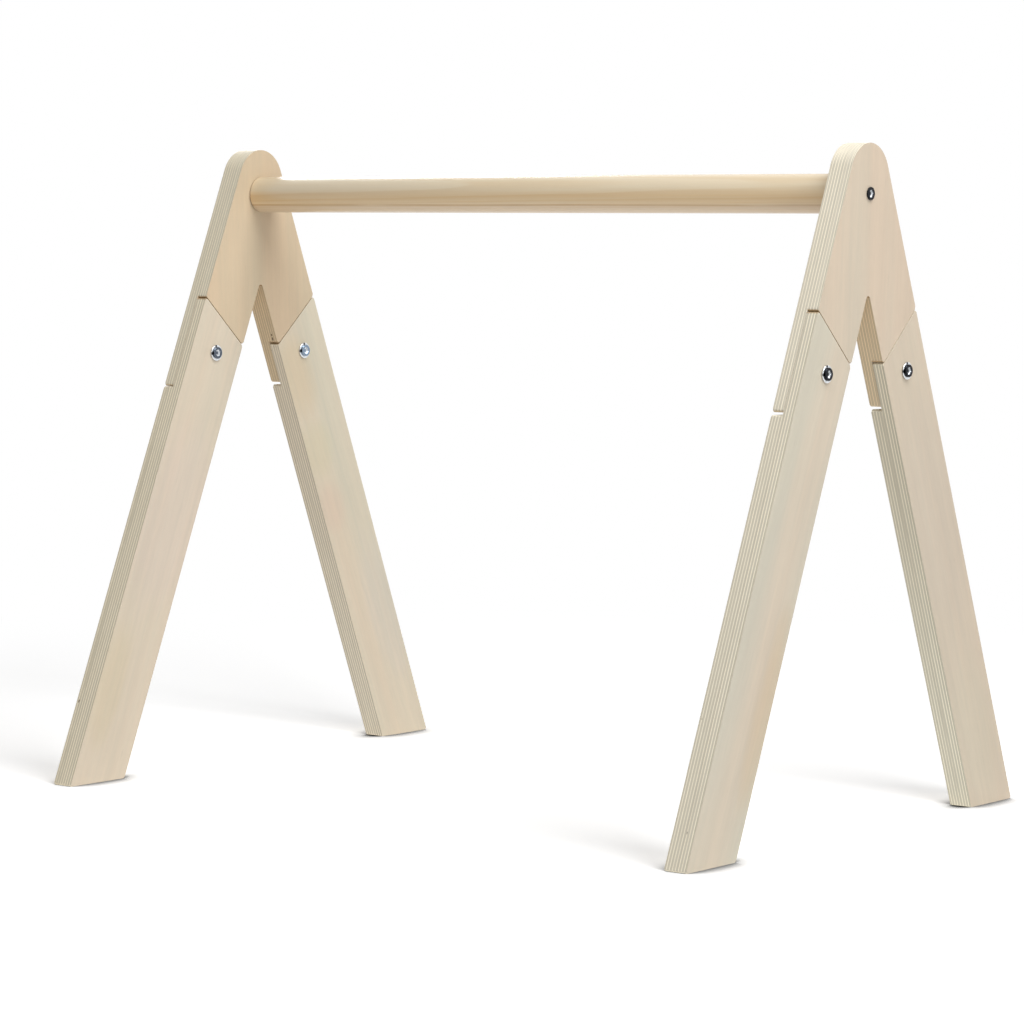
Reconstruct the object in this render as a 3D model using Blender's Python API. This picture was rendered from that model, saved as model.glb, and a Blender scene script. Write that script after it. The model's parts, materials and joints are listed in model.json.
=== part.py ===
"""Wooden play gym: two half-lapped plywood A-frames joined by a round wooden bar.

Metres, +Z up. X runs along the bar, Y from the front feet to the back feet, and the
origin is on the floor at the middle of the gym.
"""

import math

import bmesh
import bpy

# Plywood frames
PLY_THICKNESS = 0.018
FOOT_SPREAD = 0.426
LEG_LEAN = math.radians(22.0)
LEG_WIDTH = 0.054
CROWN_RADIUS = 0.025
NOTCH_TIP_RADIUS = 0.0025
CORNER_RADIUS = 0.0012
EDGE_EASE = 0.0006

# Half laps, in heights below the point where the inner edges would meet
SEAM_DROP = 0.052
SEAM_RISE = 0.039
TONGUE_REACH = 0.031
SEAM_GAP = 0.0006
TONGUE_GAP = 0.002
LAP_BOLT_RISE = 0.0255

# Round bar
BAR_LENGTH = 0.550
BAR_DIAMETER = 0.028
BAR_DROP = 0.0103
BAR_END_ROUND = 0.0012

# Low-head bolts, washers and threaded inserts
BOLT_DIAMETER = 0.006
BOLT_HEAD_DIAMETER = 0.0092
BOLT_HEAD_HEIGHT = 0.0021
BOLT_HEAD_RIM = 0.0011
BOLT_HEAD_FLAT = 0.0072
BOLT_TIP_CHAMFER = 0.0006
SOCKET_ACROSS = 0.005
SOCKET_DEPTH = 0.0016
SOCKET_POINT = 0.0005
WASHER_DIAMETER = 0.0125
WASHER_THICKNESS = 0.0014
WASHER_EASE = 0.0004
INSERT_WALL = 0.0013
INSERT_COLLAR = 0.0012
INSERT_COLLAR_THICKNESS = 0.001
LAP_BOLT_BACKSET = 0.004
LAP_INSERT_BACKSET = 0.0012
BAR_BOLT_LENGTH = 0.035
BAR_INSERT_LENGTH = 0.013

# Clearances
FACE_GAP = 0.0003
BORE_GAP = 0.0003
BOLT_HOLE_PLAY = 0.0006
BAR_BORE_SPARE = 0.002
CUTTER_OVERRUN = 0.001

# Facets
CROWN_STEPS = 14
NOTCH_STEPS = 4
CORNER_STEPS = 3
EASE_STEPS = 2
ROUND_STEPS = 4
BAR_SIDES = 64
BOLT_SIDES = 24
ROUND_SIDES = 32
SMOOTH_ANGLE = math.radians(30.0)

# Base colour, roughness and metallic value of each finish
PLYWOOD = ((0.68, 0.57, 0.45, 1.0), 0.55, 0.0)
PINE = ((0.58, 0.46, 0.31, 1.0), 0.45, 0.0)
ZINC = ((0.66, 0.68, 0.70, 1.0), 0.28, 1.0)

# Sizes that follow from those above
SLOPE = math.tan(LEG_LEAN)
LEG_WIDTH_LEVEL = LEG_WIDTH / math.cos(LEG_LEAN)
HALF_SPREAD = FOOT_SPREAD / 2
CROWN_HEIGHT = (HALF_SPREAD - CROWN_RADIUS / math.cos(LEG_LEAN)) / SLOPE
NOTCH_HEIGHT = (HALF_SPREAD - LEG_WIDTH_LEVEL) / SLOPE
SEAM_INNER_HEIGHT = NOTCH_HEIGHT - SEAM_DROP
SEAM_OUTER_HEIGHT = SEAM_INNER_HEIGHT + SEAM_RISE
TONGUE_END_HEIGHT = SEAM_INNER_HEIGHT - TONGUE_REACH
SHOULDER_HEIGHT = TONGUE_END_HEIGHT - TONGUE_GAP
LAP_BOLT_HEIGHT = TONGUE_END_HEIGHT + LAP_BOLT_RISE
LAP_BOLT_OFFSET = HALF_SPREAD - LEG_WIDTH_LEVEL / 2 - LAP_BOLT_HEIGHT * SLOPE
BAR_HEIGHT = CROWN_HEIGHT - BAR_DROP
HALF_LAP = (PLY_THICKNESS - FACE_GAP) / 2
FRAME_INNER_X = BAR_LENGTH / 2 + FACE_GAP
BOLT_RADIUS = BOLT_DIAMETER / 2
INSERT_BORE_RADIUS = BOLT_RADIUS + BORE_GAP
INSERT_RADIUS = INSERT_BORE_RADIUS + INSERT_WALL
COLLAR_RADIUS = INSERT_RADIUS + INSERT_COLLAR
LAP_INSERT_LENGTH = HALF_LAP - LAP_INSERT_BACKSET
LAP_BOLT_SEAT = PLY_THICKNESS + FACE_GAP + WASHER_THICKNESS + FACE_GAP
LAP_BOLT_LENGTH = LAP_BOLT_SEAT - LAP_BOLT_BACKSET
BAR_BOLT_SEAT = FACE_GAP + PLY_THICKNESS + FACE_GAP
BAR_BOLT_REACH = BAR_BOLT_LENGTH - BAR_BOLT_SEAT


def clear_scene():
    """Remove every object that the scene starts with."""
    for obj in list(bpy.data.objects):
        bpy.data.objects.remove(obj, do_unlink=True)


def make_material(name, finish):
    """Principled material from a finish's colour, roughness and metallic value."""
    colour, roughness, metallic = finish
    material = bpy.data.materials.new(name)
    material.use_nodes = True
    shader = material.node_tree.nodes["Principled BSDF"]
    shader.inputs["Base Color"].default_value = colour
    shader.inputs["Roughness"].default_value = roughness
    shader.inputs["Metallic"].default_value = metallic
    return material


def finish_mesh(name, bm):
    """Close a bmesh into a mesh with outward faces and smooth round surfaces."""
    bmesh.ops.recalc_face_normals(bm, faces=bm.faces[:])
    mesh = bpy.data.meshes.new(name)
    bm.to_mesh(mesh)
    bm.free()
    mesh.shade_smooth()
    mesh.set_sharp_from_angle(angle=SMOOTH_ANGLE)
    return mesh


def place(name, mesh, parent=None, location=(0.0, 0.0, 0.0), turn=0.0, finish=None):
    """Object on a mesh, turned about Z, with its own material."""
    obj = bpy.data.objects.new(name, mesh)
    bpy.context.scene.collection.objects.link(obj)
    obj.parent = parent
    obj.location = location
    obj.rotation_euler = (0.0, 0.0, turn)
    if finish is not None:
        if not mesh.materials:
            mesh.materials.append(None)
        obj.material_slots[0].link = "OBJECT"
        obj.material_slots[0].material = make_material(name + "_finish", finish)
    return obj


def make_cutter(name, mesh, parent):
    """Guide object for a Boolean, left out of the finished model."""
    cutter = place(name, mesh, parent)
    cutter.hide_render = True
    cutter.display_type = "WIRE"
    return cutter


def cut(obj, cutter):
    """Cut one object with another."""
    boolean = obj.modifiers.new("bores", "BOOLEAN")
    boolean.operation = "DIFFERENCE"
    boolean.solver = "EXACT"
    boolean.object = cutter


# Outlines of the boards, as (y, z) points that run anticlockwise seen from +X


def outer_edge(height):
    """Point on the front leg's outer edge."""
    return (height * SLOPE - HALF_SPREAD, height)


def inner_edge(height):
    """Point on the front leg's inner edge."""
    return (height * SLOPE - HALF_SPREAD + LEG_WIDTH_LEVEL, height)


def arc(centre_height, radius, start, end, steps):
    """Points on an arc about a centre on the frame's middle line."""
    angles = [start + (end - start) * i / steps for i in range(steps + 1)]
    return [
        (radius * math.cos(angle), centre_height + radius * math.sin(angle))
        for angle in angles
    ]


def unit(start, end):
    """Unit vector from one point to another."""
    length = math.dist(start, end)
    return ((end[0] - start[0]) / length, (end[1] - start[1]) / length)


def rounded(before, corner, after, radius=CORNER_RADIUS, steps=CORNER_STEPS):
    """Points that round one corner of an outline, from tangent to tangent."""
    to_before = unit(corner, before)
    to_after = unit(corner, after)
    cosine = to_before[0] * to_after[0] + to_before[1] * to_after[1]
    half_angle = math.acos(cosine) / 2
    reach = radius / math.tan(half_angle)
    middle = (to_before[0] + to_after[0], to_before[1] + to_after[1])
    scale = radius / math.sin(half_angle) / math.hypot(*middle)
    centre = (corner[0] + middle[0] * scale, corner[1] + middle[1] * scale)
    start = (corner[0] + to_before[0] * reach, corner[1] + to_before[1] * reach)
    first = math.atan2(start[1] - centre[1], start[0] - centre[0])
    turn = math.pi - 2 * half_angle
    if to_before[0] * to_after[1] - to_before[1] * to_after[0] > 0:
        turn = -turn
    return [
        (
            centre[0] + radius * math.cos(first + turn * i / steps),
            centre[1] + radius * math.sin(first + turn * i / steps),
        )
        for i in range(steps + 1)
    ]


def shifted_seam(gap):
    """The seam's outer and inner end, moved square to the seam towards the foot."""
    outer = outer_edge(SEAM_OUTER_HEIGHT)
    inner = inner_edge(SEAM_INNER_HEIGHT)
    fall = (inner[1] - outer[1]) / (inner[0] - outer[0])
    drop = gap * math.hypot(1.0, fall)
    outer_height = outer[1] - drop / (1.0 - fall * SLOPE)
    inner_height = inner[1] - drop / (1.0 - fall * SLOPE)
    return outer_edge(outer_height), inner_edge(inner_height)


def mirrored(points):
    """The same outline on the other side of the frame, in the order that closes it."""
    return [(-y, z) for y, z in reversed(points)]


def head_outlines():
    """Outlines of the head plate's -X half, with its tongues, and its +X half."""
    crown = arc(CROWN_HEIGHT, CROWN_RADIUS, math.pi / 2, math.pi - LEG_LEAN, CROWN_STEPS)
    notch_centre = NOTCH_HEIGHT - NOTCH_TIP_RADIUS / math.sin(LEG_LEAN)
    notch = arc(notch_centre, NOTCH_TIP_RADIUS, math.pi - LEG_LEAN, math.pi / 2, NOTCH_STEPS)
    crown[0] = (0.0, crown[0][1])
    notch[-1] = (0.0, notch[-1][1])
    seam_outer, seam_inner = shifted_seam(0.0)
    seam_start = rounded(crown[-1], seam_outer, seam_inner)
    seam_end = rounded(seam_outer, seam_inner, notch[0])
    tongue_outer = outer_edge(TONGUE_END_HEIGHT)
    tongue_inner = inner_edge(TONGUE_END_HEIGHT)
    tongue = [seam_start[0]]
    tongue += rounded(crown[-1], tongue_outer, tongue_inner)
    tongue += rounded(tongue_outer, tongue_inner, notch[0])
    tongue += [seam_end[-1]]
    front_low = crown + tongue + notch
    front_high = crown + seam_start + seam_end + notch
    low = front_low + mirrored(front_low)[1:-1]
    high = front_high + mirrored(front_high)[1:-1]
    return low, high


def leg_outlines():
    """Outlines of the front leg's -X half, below the lap, and its +X half."""
    foot_outer, foot_inner = outer_edge(0.0), inner_edge(0.0)
    shoulder_outer, shoulder_inner = outer_edge(SHOULDER_HEIGHT), inner_edge(SHOULDER_HEIGHT)
    seam_outer, seam_inner = shifted_seam(SEAM_GAP)
    foot = rounded(shoulder_outer, foot_outer, foot_inner)
    foot += rounded(foot_outer, foot_inner, shoulder_inner)
    shoulder = rounded(foot_inner, shoulder_inner, shoulder_outer)
    shoulder += rounded(shoulder_inner, shoulder_outer, foot_outer)
    tongue = [shoulder[0]]
    tongue += rounded(foot_inner, seam_inner, seam_outer)
    tongue += rounded(seam_inner, seam_outer, foot_outer)
    tongue += [shoulder[-1]]
    return foot + shoulder, foot + tongue


# Boards


def outline_edges(points):
    """Pairs of neighbouring points round a closed outline."""
    return list(zip(points, points[1:] + points[:1]))


def ledge_loops(low, high):
    """Outlines of the flat ledges where only one half of a board goes on."""
    low_edges, high_edges = outline_edges(low), outline_edges(high)
    follow = {start: end for start, end in low_edges if (start, end) not in set(high_edges)}
    follow.update(
        {end: start for start, end in high_edges if (start, end) not in set(low_edges)}
    )
    loops = []
    while follow:
        start, point = follow.popitem()
        loop = [start]
        while point != start:
            loop.append(point)
            point = follow.pop(point)
        loops.append(loop)
    return loops


def stepped_board(name, low, high, step_x):
    """Board whose -X half follows one outline and whose +X half follows another."""
    bm = bmesh.new()
    back = {point: bm.verts.new((0.0, *point)) for point in low}
    step = {point: bm.verts.new((step_x, *point)) for point in dict.fromkeys(low + high)}
    front = {point: bm.verts.new((PLY_THICKNESS, *point)) for point in high}
    caps = [
        bm.faces.new([back[point] for point in reversed(low)]),
        bm.faces.new([front[point] for point in high]),
    ]
    for start, end in outline_edges(low):
        bm.faces.new((back[start], back[end], step[end], step[start]))
    for start, end in outline_edges(high):
        bm.faces.new((step[start], step[end], front[end], front[start]))
    for loop in ledge_loops(low, high):
        bm.faces.new([step[point] for point in loop])
    rims = [edge for cap in caps for edge in cap.edges]
    bmesh.ops.bevel(
        bm, geom=rims, offset=EDGE_EASE, segments=EASE_STEPS, profile=0.5, affect="EDGES"
    )
    return finish_mesh(name, bm)


# Turned pieces, as rings along X


def round_ring(x, radius):
    """Ring of a turned piece."""
    return (x, lambda angle: radius)


def hex_ring(x, across):
    """Six-sided ring of a socket, measured across its flats."""
    sixth = math.pi / 3
    return (x, lambda angle: across / 2 / math.cos((angle % sixth) - sixth / 2))


def ring_stack(name, rings, sides, hollow=False):
    """Loft through rings along X, closed by end faces or, if hollow, into a tube."""
    bm = bmesh.new()
    angles = [2 * math.pi * i / sides for i in range(sides)]
    loops = []
    for x, radius_at in rings:
        loops.append(
            [
                bm.verts.new((x, radius_at(a) * math.cos(a), radius_at(a) * math.sin(a)))
                for a in angles
            ]
        )
    pairs = list(zip(loops, loops[1:]))
    if hollow:
        pairs.append((loops[-1], loops[0]))
    else:
        bm.faces.new(loops[0])
        bm.faces.new(loops[-1])
    for one, other in pairs:
        for i in range(sides):
            j = (i + 1) % sides
            bm.faces.new((one[i], one[j], other[j], other[i]))
    return finish_mesh(name, bm)


def bolt_mesh(name, length):
    """Low-head bolt with a hexagon socket; x is 0 under the head, which points to +X."""
    flat_radius = BOLT_HEAD_FLAT / 2
    round_width = BOLT_HEAD_DIAMETER / 2 - flat_radius
    round_height = BOLT_HEAD_HEIGHT - BOLT_HEAD_RIM
    rings = [
        round_ring(-length, BOLT_RADIUS - BOLT_TIP_CHAMFER),
        round_ring(BOLT_TIP_CHAMFER - length, BOLT_RADIUS),
        round_ring(0.0, BOLT_RADIUS),
        round_ring(0.0, BOLT_HEAD_DIAMETER / 2),
    ]
    for i in range(ROUND_STEPS + 1):
        angle = math.pi / 2 * i / ROUND_STEPS
        x = BOLT_HEAD_RIM + round_height * math.sin(angle)
        rings.append(round_ring(x, flat_radius + round_width * math.cos(angle)))
    socket_floor = BOLT_HEAD_HEIGHT - SOCKET_DEPTH
    rings += [
        hex_ring(BOLT_HEAD_HEIGHT, SOCKET_ACROSS),
        hex_ring(socket_floor, SOCKET_ACROSS),
        round_ring(socket_floor - SOCKET_POINT, SOCKET_ACROSS / 8),
    ]
    return ring_stack(name, rings, BOLT_SIDES)


def washer_mesh():
    """Flat washer with eased rims; x is 0 on the face that lies on the wood."""
    hole_radius = BOLT_RADIUS + BORE_GAP
    outer_radius = WASHER_DIAMETER / 2
    rings = [
        round_ring(0.0, hole_radius),
        round_ring(0.0, outer_radius - WASHER_EASE),
        round_ring(WASHER_EASE, outer_radius),
        round_ring(WASHER_THICKNESS - WASHER_EASE, outer_radius),
        round_ring(WASHER_THICKNESS, outer_radius - WASHER_EASE),
        round_ring(WASHER_THICKNESS, hole_radius),
    ]
    return ring_stack("washer", rings, ROUND_SIDES, hollow=True)


def insert_mesh(name, length):
    """Collared threaded insert; x is 0 on the collar's face and the body points to +X."""
    rings = [
        round_ring(0.0, INSERT_BORE_RADIUS),
        round_ring(0.0, COLLAR_RADIUS),
        round_ring(INSERT_COLLAR_THICKNESS, COLLAR_RADIUS),
        round_ring(INSERT_COLLAR_THICKNESS, INSERT_RADIUS),
        round_ring(length, INSERT_RADIUS),
        round_ring(length, INSERT_BORE_RADIUS),
    ]
    return ring_stack(name, rings, BOLT_SIDES, hollow=True)


def bar_end_rings():
    """Rings of the bar's right end, from the blind bore's floor out to its long side."""
    end = BAR_LENGTH / 2
    bore_radius = BOLT_RADIUS + BOLT_HOLE_PLAY
    pocket_radius = INSERT_RADIUS + BORE_GAP
    collar_seat = end - FACE_GAP - INSERT_COLLAR_THICKNESS - FACE_GAP
    pocket_floor = end - FACE_GAP - BAR_INSERT_LENGTH - FACE_GAP
    bore_floor = min(end - BAR_BOLT_REACH, pocket_floor) - BAR_BORE_SPARE
    rings = [
        round_ring(bore_floor, bore_radius),
        round_ring(pocket_floor, bore_radius),
        round_ring(pocket_floor, pocket_radius),
        round_ring(collar_seat, pocket_radius),
        round_ring(collar_seat, COLLAR_RADIUS + BORE_GAP),
        round_ring(end, COLLAR_RADIUS + BORE_GAP),
    ]
    for i in range(CORNER_STEPS + 1):
        angle = math.pi / 2 * i / CORNER_STEPS
        x = end - BAR_END_ROUND * (1 - math.cos(angle))
        radius = BAR_DIAMETER / 2 - BAR_END_ROUND * (1 - math.sin(angle))
        rings.append(round_ring(x, radius))
    return rings


def bar_mesh():
    """Round bar with an insert pocket in each end."""
    right = bar_end_rings()
    left = [(-x, radius_at) for x, radius_at in reversed(right)]
    return ring_stack("crossbar", right + left, BAR_SIDES)


def lap_bore_mesh():
    """Stepped cutter for a lap: collar and insert in one half, bolt in the other."""
    pocket_radius = INSERT_RADIUS + BORE_GAP
    collar_seat = FACE_GAP + INSERT_COLLAR_THICKNESS + FACE_GAP
    middle = PLY_THICKNESS / 2
    rings = [
        round_ring(-CUTTER_OVERRUN, COLLAR_RADIUS + BORE_GAP),
        round_ring(collar_seat, COLLAR_RADIUS + BORE_GAP),
        round_ring(collar_seat, pocket_radius),
        round_ring(middle, pocket_radius),
        round_ring(middle, BOLT_RADIUS + BOLT_HOLE_PLAY),
        round_ring(PLY_THICKNESS + CUTTER_OVERRUN, BOLT_RADIUS + BOLT_HOLE_PLAY),
    ]
    return ring_stack("lap_bore", rings, BOLT_SIDES)


def bar_bore_mesh():
    """Cutter for the bar bolt's plain hole through a head plate."""
    rings = [
        round_ring(-CUTTER_OVERRUN, BOLT_RADIUS + BOLT_HOLE_PLAY),
        round_ring(PLY_THICKNESS + CUTTER_OVERRUN, BOLT_RADIUS + BOLT_HOLE_PLAY),
    ]
    return ring_stack("bar_bore", rings, BOLT_SIDES)


def make_shared_meshes():
    """Meshes that both frames use, by name."""
    head_low, head_high = head_outlines()
    leg_low, leg_high = leg_outlines()
    lap_middle = HALF_LAP + FACE_GAP
    back_low, back_high = mirrored(leg_low), mirrored(leg_high)
    return {
        "head": stepped_board("head_plate", head_low, head_high, HALF_LAP),
        "leg_front": stepped_board("leg_front", leg_low, leg_high, lap_middle),
        "leg_back": stepped_board("leg_back", back_low, back_high, lap_middle),
        "lap_bolt": bolt_mesh("lap_bolt", LAP_BOLT_LENGTH),
        "bar_bolt": bolt_mesh("bar_bolt", BAR_BOLT_LENGTH),
        "lap_insert": insert_mesh("lap_insert", LAP_INSERT_LENGTH),
        "bar_insert": insert_mesh("bar_insert", BAR_INSERT_LENGTH),
        "washer": washer_mesh(),
        "lap_bore": lap_bore_mesh(),
        "bar_bore": bar_bore_mesh(),
    }


def make_lap(meshes, frame, side, end, board, leg):
    """Bore one half lap and fit its bolt, washer and insert."""
    sign = -1 if end == "front" else 1
    centre = (sign * LAP_BOLT_OFFSET, LAP_BOLT_HEIGHT)
    label = end + "_" + side
    cutter = make_cutter("lap_bore_" + label, meshes["lap_bore"], frame)
    cutter.location = (0.0, *centre)
    cut(board, cutter)
    cut(leg, cutter)
    washer_x = PLY_THICKNESS + FACE_GAP
    place("leg_insert_" + label, meshes["lap_insert"], frame, (FACE_GAP, *centre), 0.0, ZINC)
    place("leg_washer_" + label, meshes["washer"], frame, (washer_x, *centre), 0.0, ZINC)
    place("leg_bolt_" + label, meshes["lap_bolt"], frame, (LAP_BOLT_SEAT, *centre), 0.0, ZINC)


def make_frame(meshes, side, x):
    """One A-frame: head plate, two legs and the hardware of their laps."""
    frame = bpy.data.objects.new("frame_" + side, None)
    bpy.context.scene.collection.objects.link(frame)
    frame.location = (x, 0.0, 0.0)
    head = place("head_plate_" + side, meshes["head"], frame, finish=PLYWOOD)
    bar_bore = make_cutter("bar_bore_" + side, meshes["bar_bore"], frame)
    bar_bore.location = (0.0, 0.0, BAR_HEIGHT)
    cut(head, bar_bore)
    for end in ("front", "back"):
        name = "leg_" + end + "_" + side
        leg = place(name, meshes["leg_" + end], frame, finish=PLYWOOD)
        make_lap(meshes, frame, side, end, head, leg)


def make_bar(meshes):
    """The bar, with the insert and the bolt that hold it at each end."""
    bar = place("crossbar", bar_mesh(), location=(0.0, 0.0, BAR_HEIGHT), finish=PINE)
    insert_x = BAR_LENGTH / 2 - FACE_GAP
    bolt_x = BAR_LENGTH / 2 + BAR_BOLT_SEAT
    for side, sign, turn in (("left", -1, math.pi), ("right", 1, 0.0)):
        insert_place = (sign * insert_x, 0.0, 0.0)
        bolt_place = (sign * bolt_x, 0.0, 0.0)
        place("bar_insert_" + side, meshes["bar_insert"], bar, insert_place, math.pi - turn, ZINC)
        place("bar_bolt_" + side, meshes["bar_bolt"], bar, bolt_place, turn, ZINC)


def main():
    """Build the play gym."""
    clear_scene()
    meshes = make_shared_meshes()
    make_frame(meshes, "left", -FRAME_INNER_X - PLY_THICKNESS)
    make_frame(meshes, "right", FRAME_INNER_X)
    make_bar(meshes)


main()
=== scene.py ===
"""Looks of a wooden play gym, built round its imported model.

Metres, +Z up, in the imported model's frame: X runs along the bar, Y from the front feet to the
back feet, and the origin is on the floor at the middle of the gym.
"""

import json
import logging
import math
from collections.abc import Callable
from dataclasses import dataclass, field, fields, replace
from enum import Enum
from typing import Union

import bmesh
import bpy
from mathutils import Matrix, Vector

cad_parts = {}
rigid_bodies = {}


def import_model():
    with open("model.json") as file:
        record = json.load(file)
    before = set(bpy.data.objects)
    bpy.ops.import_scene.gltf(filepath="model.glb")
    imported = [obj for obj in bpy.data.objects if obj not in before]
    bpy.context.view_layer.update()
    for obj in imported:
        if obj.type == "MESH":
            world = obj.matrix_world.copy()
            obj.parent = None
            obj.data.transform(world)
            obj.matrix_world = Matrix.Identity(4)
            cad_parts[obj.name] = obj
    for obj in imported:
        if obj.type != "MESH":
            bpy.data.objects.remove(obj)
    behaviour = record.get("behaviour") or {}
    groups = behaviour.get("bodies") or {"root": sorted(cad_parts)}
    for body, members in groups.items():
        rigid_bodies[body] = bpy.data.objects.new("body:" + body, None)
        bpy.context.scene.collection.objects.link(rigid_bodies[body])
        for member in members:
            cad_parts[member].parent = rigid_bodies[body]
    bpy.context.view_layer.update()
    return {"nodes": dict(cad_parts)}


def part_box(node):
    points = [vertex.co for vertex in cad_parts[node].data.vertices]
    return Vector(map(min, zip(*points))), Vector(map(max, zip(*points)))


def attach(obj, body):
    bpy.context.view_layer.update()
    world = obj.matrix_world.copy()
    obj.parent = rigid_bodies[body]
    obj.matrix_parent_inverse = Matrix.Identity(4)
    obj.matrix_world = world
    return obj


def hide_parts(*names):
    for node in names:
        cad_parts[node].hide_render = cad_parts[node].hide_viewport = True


LOG = logging.getLogger("play_gym")
BODY = "root"
SMOOTH_ANGLE = math.radians(32.0)
MERGE_DISTANCE = 1e-6
FIT_TOLERANCE = 0.001

Point = tuple[float, float]
Range = tuple[float, float]
Triple = tuple[float, float, float]
Tint = tuple[float, float, float]
Colour = tuple[float, float, float, float]
Number = Union["Term", float]

WHITE: Colour = (1.0, 1.0, 1.0, 1.0)


def screen_colour(red: int, green: int, blue: int) -> Colour:
    """Linear colour that shows on a screen as these 8-bit values.

    Args:
        red: Red, from 0 to 255.
        green: Green, from 0 to 255.
        blue: Blue, from 0 to 255.

    Returns:
        The colour as linear red, green and blue, and full alpha.
    """
    linear = []
    for level in (red, green, blue):
        share = level / 255
        linear.append(share / 12.92 if share <= 0.04045 else ((share + 0.055) / 1.055) ** 2.4)
    return (*linear, 1.0)


class Side(Enum):
    """The two A-frames, by their place along the bar."""

    LEFT = "left"
    RIGHT = "right"

    @property
    def sign(self) -> int:
        """Sign of X on this side of the gym."""
        return -1 if self is Side.LEFT else 1


class End(Enum):
    """The two legs of a frame, by their place across it."""

    FRONT = "front"
    BACK = "back"

    @property
    def sign(self) -> int:
        """Sign of Y on this side of a frame."""
        return -1 if self is End.FRONT else 1


# Node trees


def operator(operation: str, flipped: bool = False) -> Callable[..., "Term"]:
    """Method of a term that is one operation of a Math node.

    Args:
        operation: The node's operation.
        flipped: Whether the term comes after the other input.

    Returns:
        The method, which takes the node's other input, if it has one.
    """

    def method(self: "Term", *other: Number) -> "Term":
        """Result of the operation."""
        return self.graph.math(operation, *((*other, self) if flipped else (self, *other)))

    return method


@dataclass(frozen=True, eq=False)
class Term:
    """A value in a node tree, so that a formula of nodes reads as plain arithmetic.

    The part is what is left above the whole number, and below and above are 1 or 0.
    """

    graph: "Graph"
    socket: bpy.types.NodeSocket

    __add__ = __radd__ = operator("ADD")
    __sub__ = operator("SUBTRACT")
    __rsub__ = operator("SUBTRACT", flipped=True)
    __mul__ = __rmul__ = operator("MULTIPLY")
    __truediv__ = operator("DIVIDE")
    __abs__ = operator("ABSOLUTE")
    floor = operator("FLOOR")
    part = operator("FRACT")
    cosine = operator("COSINE")
    sine = operator("SINE")
    below = operator("LESS_THAN")
    above = operator("GREATER_THAN")
    at_most = operator("MINIMUM")
    at_least = operator("MAXIMUM")
    raised = operator("POWER")

    def __neg__(self) -> "Term":
        """This value with its sign changed."""
        return self * -1.0

    def clamped(self) -> "Term":
        """This value held between 0 and 1."""
        return self.at_least(0.0).at_most(1.0)


def squares(one: Term, other: Term) -> Term:
    """Sum of the squares of two terms."""
    return one * one + other * other


class Graph:
    """Adds nodes to a node tree and links them."""

    def __init__(self, tree: bpy.types.NodeTree) -> None:
        """Start on a tree."""
        self.tree = tree

    def add(self, kind: str, inputs: dict[str, object], **settings: object) -> bpy.types.Node:
        """Add a node, set its options and feed its inputs.

        Args:
            kind: The node's type.
            inputs: A term or a plain value for each input socket's identifier.
            settings: The node's own options.

        Returns:
            The new node.
        """
        node = self.tree.nodes.new(kind)
        for name, setting in settings.items():
            setattr(node, name, setting)
        sockets = {socket.identifier: socket for socket in node.inputs}
        for identifier, value in inputs.items():
            self.feed(sockets[identifier], value)
        return node

    def feed(self, socket: bpy.types.NodeSocket, value: object) -> None:
        """Link a term to an input socket, or set the socket to a plain value.

        Args:
            socket: The input socket.
            value: A term or a plain value.
        """
        if isinstance(value, Term):
            self.tree.links.new(value.socket, socket)
        else:
            socket.default_value = value

    def term(self, node: bpy.types.Node, output: int | str = 0) -> Term:
        """Wrap an output of a node as a term."""
        return Term(self, node.outputs[output])

    def result(
        self, kind: str, inputs: dict[str, object], output: int | str = 0, **settings: object
    ) -> Term:
        """Add a node and take one of its outputs."""
        return self.term(self.add(kind, inputs, **settings), output)

    def math(self, operation: str, *values: Number, kind: str = "ShaderNodeMath") -> Term:
        """Result of a Math node.

        Args:
            operation: The node's operation.
            values: Its inputs, in order.
            kind: The node's type.

        Returns:
            The result.
        """
        node = self.tree.nodes.new(kind)
        node.operation = operation
        for socket, value in zip(node.inputs, values):
            self.feed(socket, value)
        return self.term(node)

    def between(self, share: Number, low: Number, high: Number) -> Term:
        """Number that goes from low to high as share goes from 0 to 1."""
        inputs = {"Factor_Float": share, "A_Float": low, "B_Float": high}
        return self.result("ShaderNodeMix", inputs, data_type="FLOAT")

    def vector(self, x: Number, y: Number, z: Number) -> Term:
        """Vector from its three parts."""
        return self.result("ShaderNodeCombineXYZ", {"X": x, "Y": y, "Z": z})

    def parts(self, vector: Term) -> list[Term]:
        """The three parts of a vector."""
        node = self.add("ShaderNodeSeparateXYZ", {"Vector": vector})
        return [self.term(node, axis) for axis in "XYZ"]


def plain_sight(graph: Graph) -> Term:
    """Tell the rays that see plainly from those that only carry light.

    Args:
        graph: The graph that asks.

    Returns:
        1 for rays from the camera, off gloss and through glass, else 0.
    """
    rays = graph.add("ShaderNodeLightPath", {})
    seen = graph.term(rays, "Is Camera Ray")
    for kind in ("Is Glossy Ray", "Is Transmission Ray"):
        seen = seen.at_least(graph.term(rays, kind))
    return seen


@dataclass(frozen=True)
class Noise:
    """Kind of smooth noise: its features in a metre along each axis, and its finer layers."""

    per_metre: Triple
    detail: float = 2.0


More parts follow.
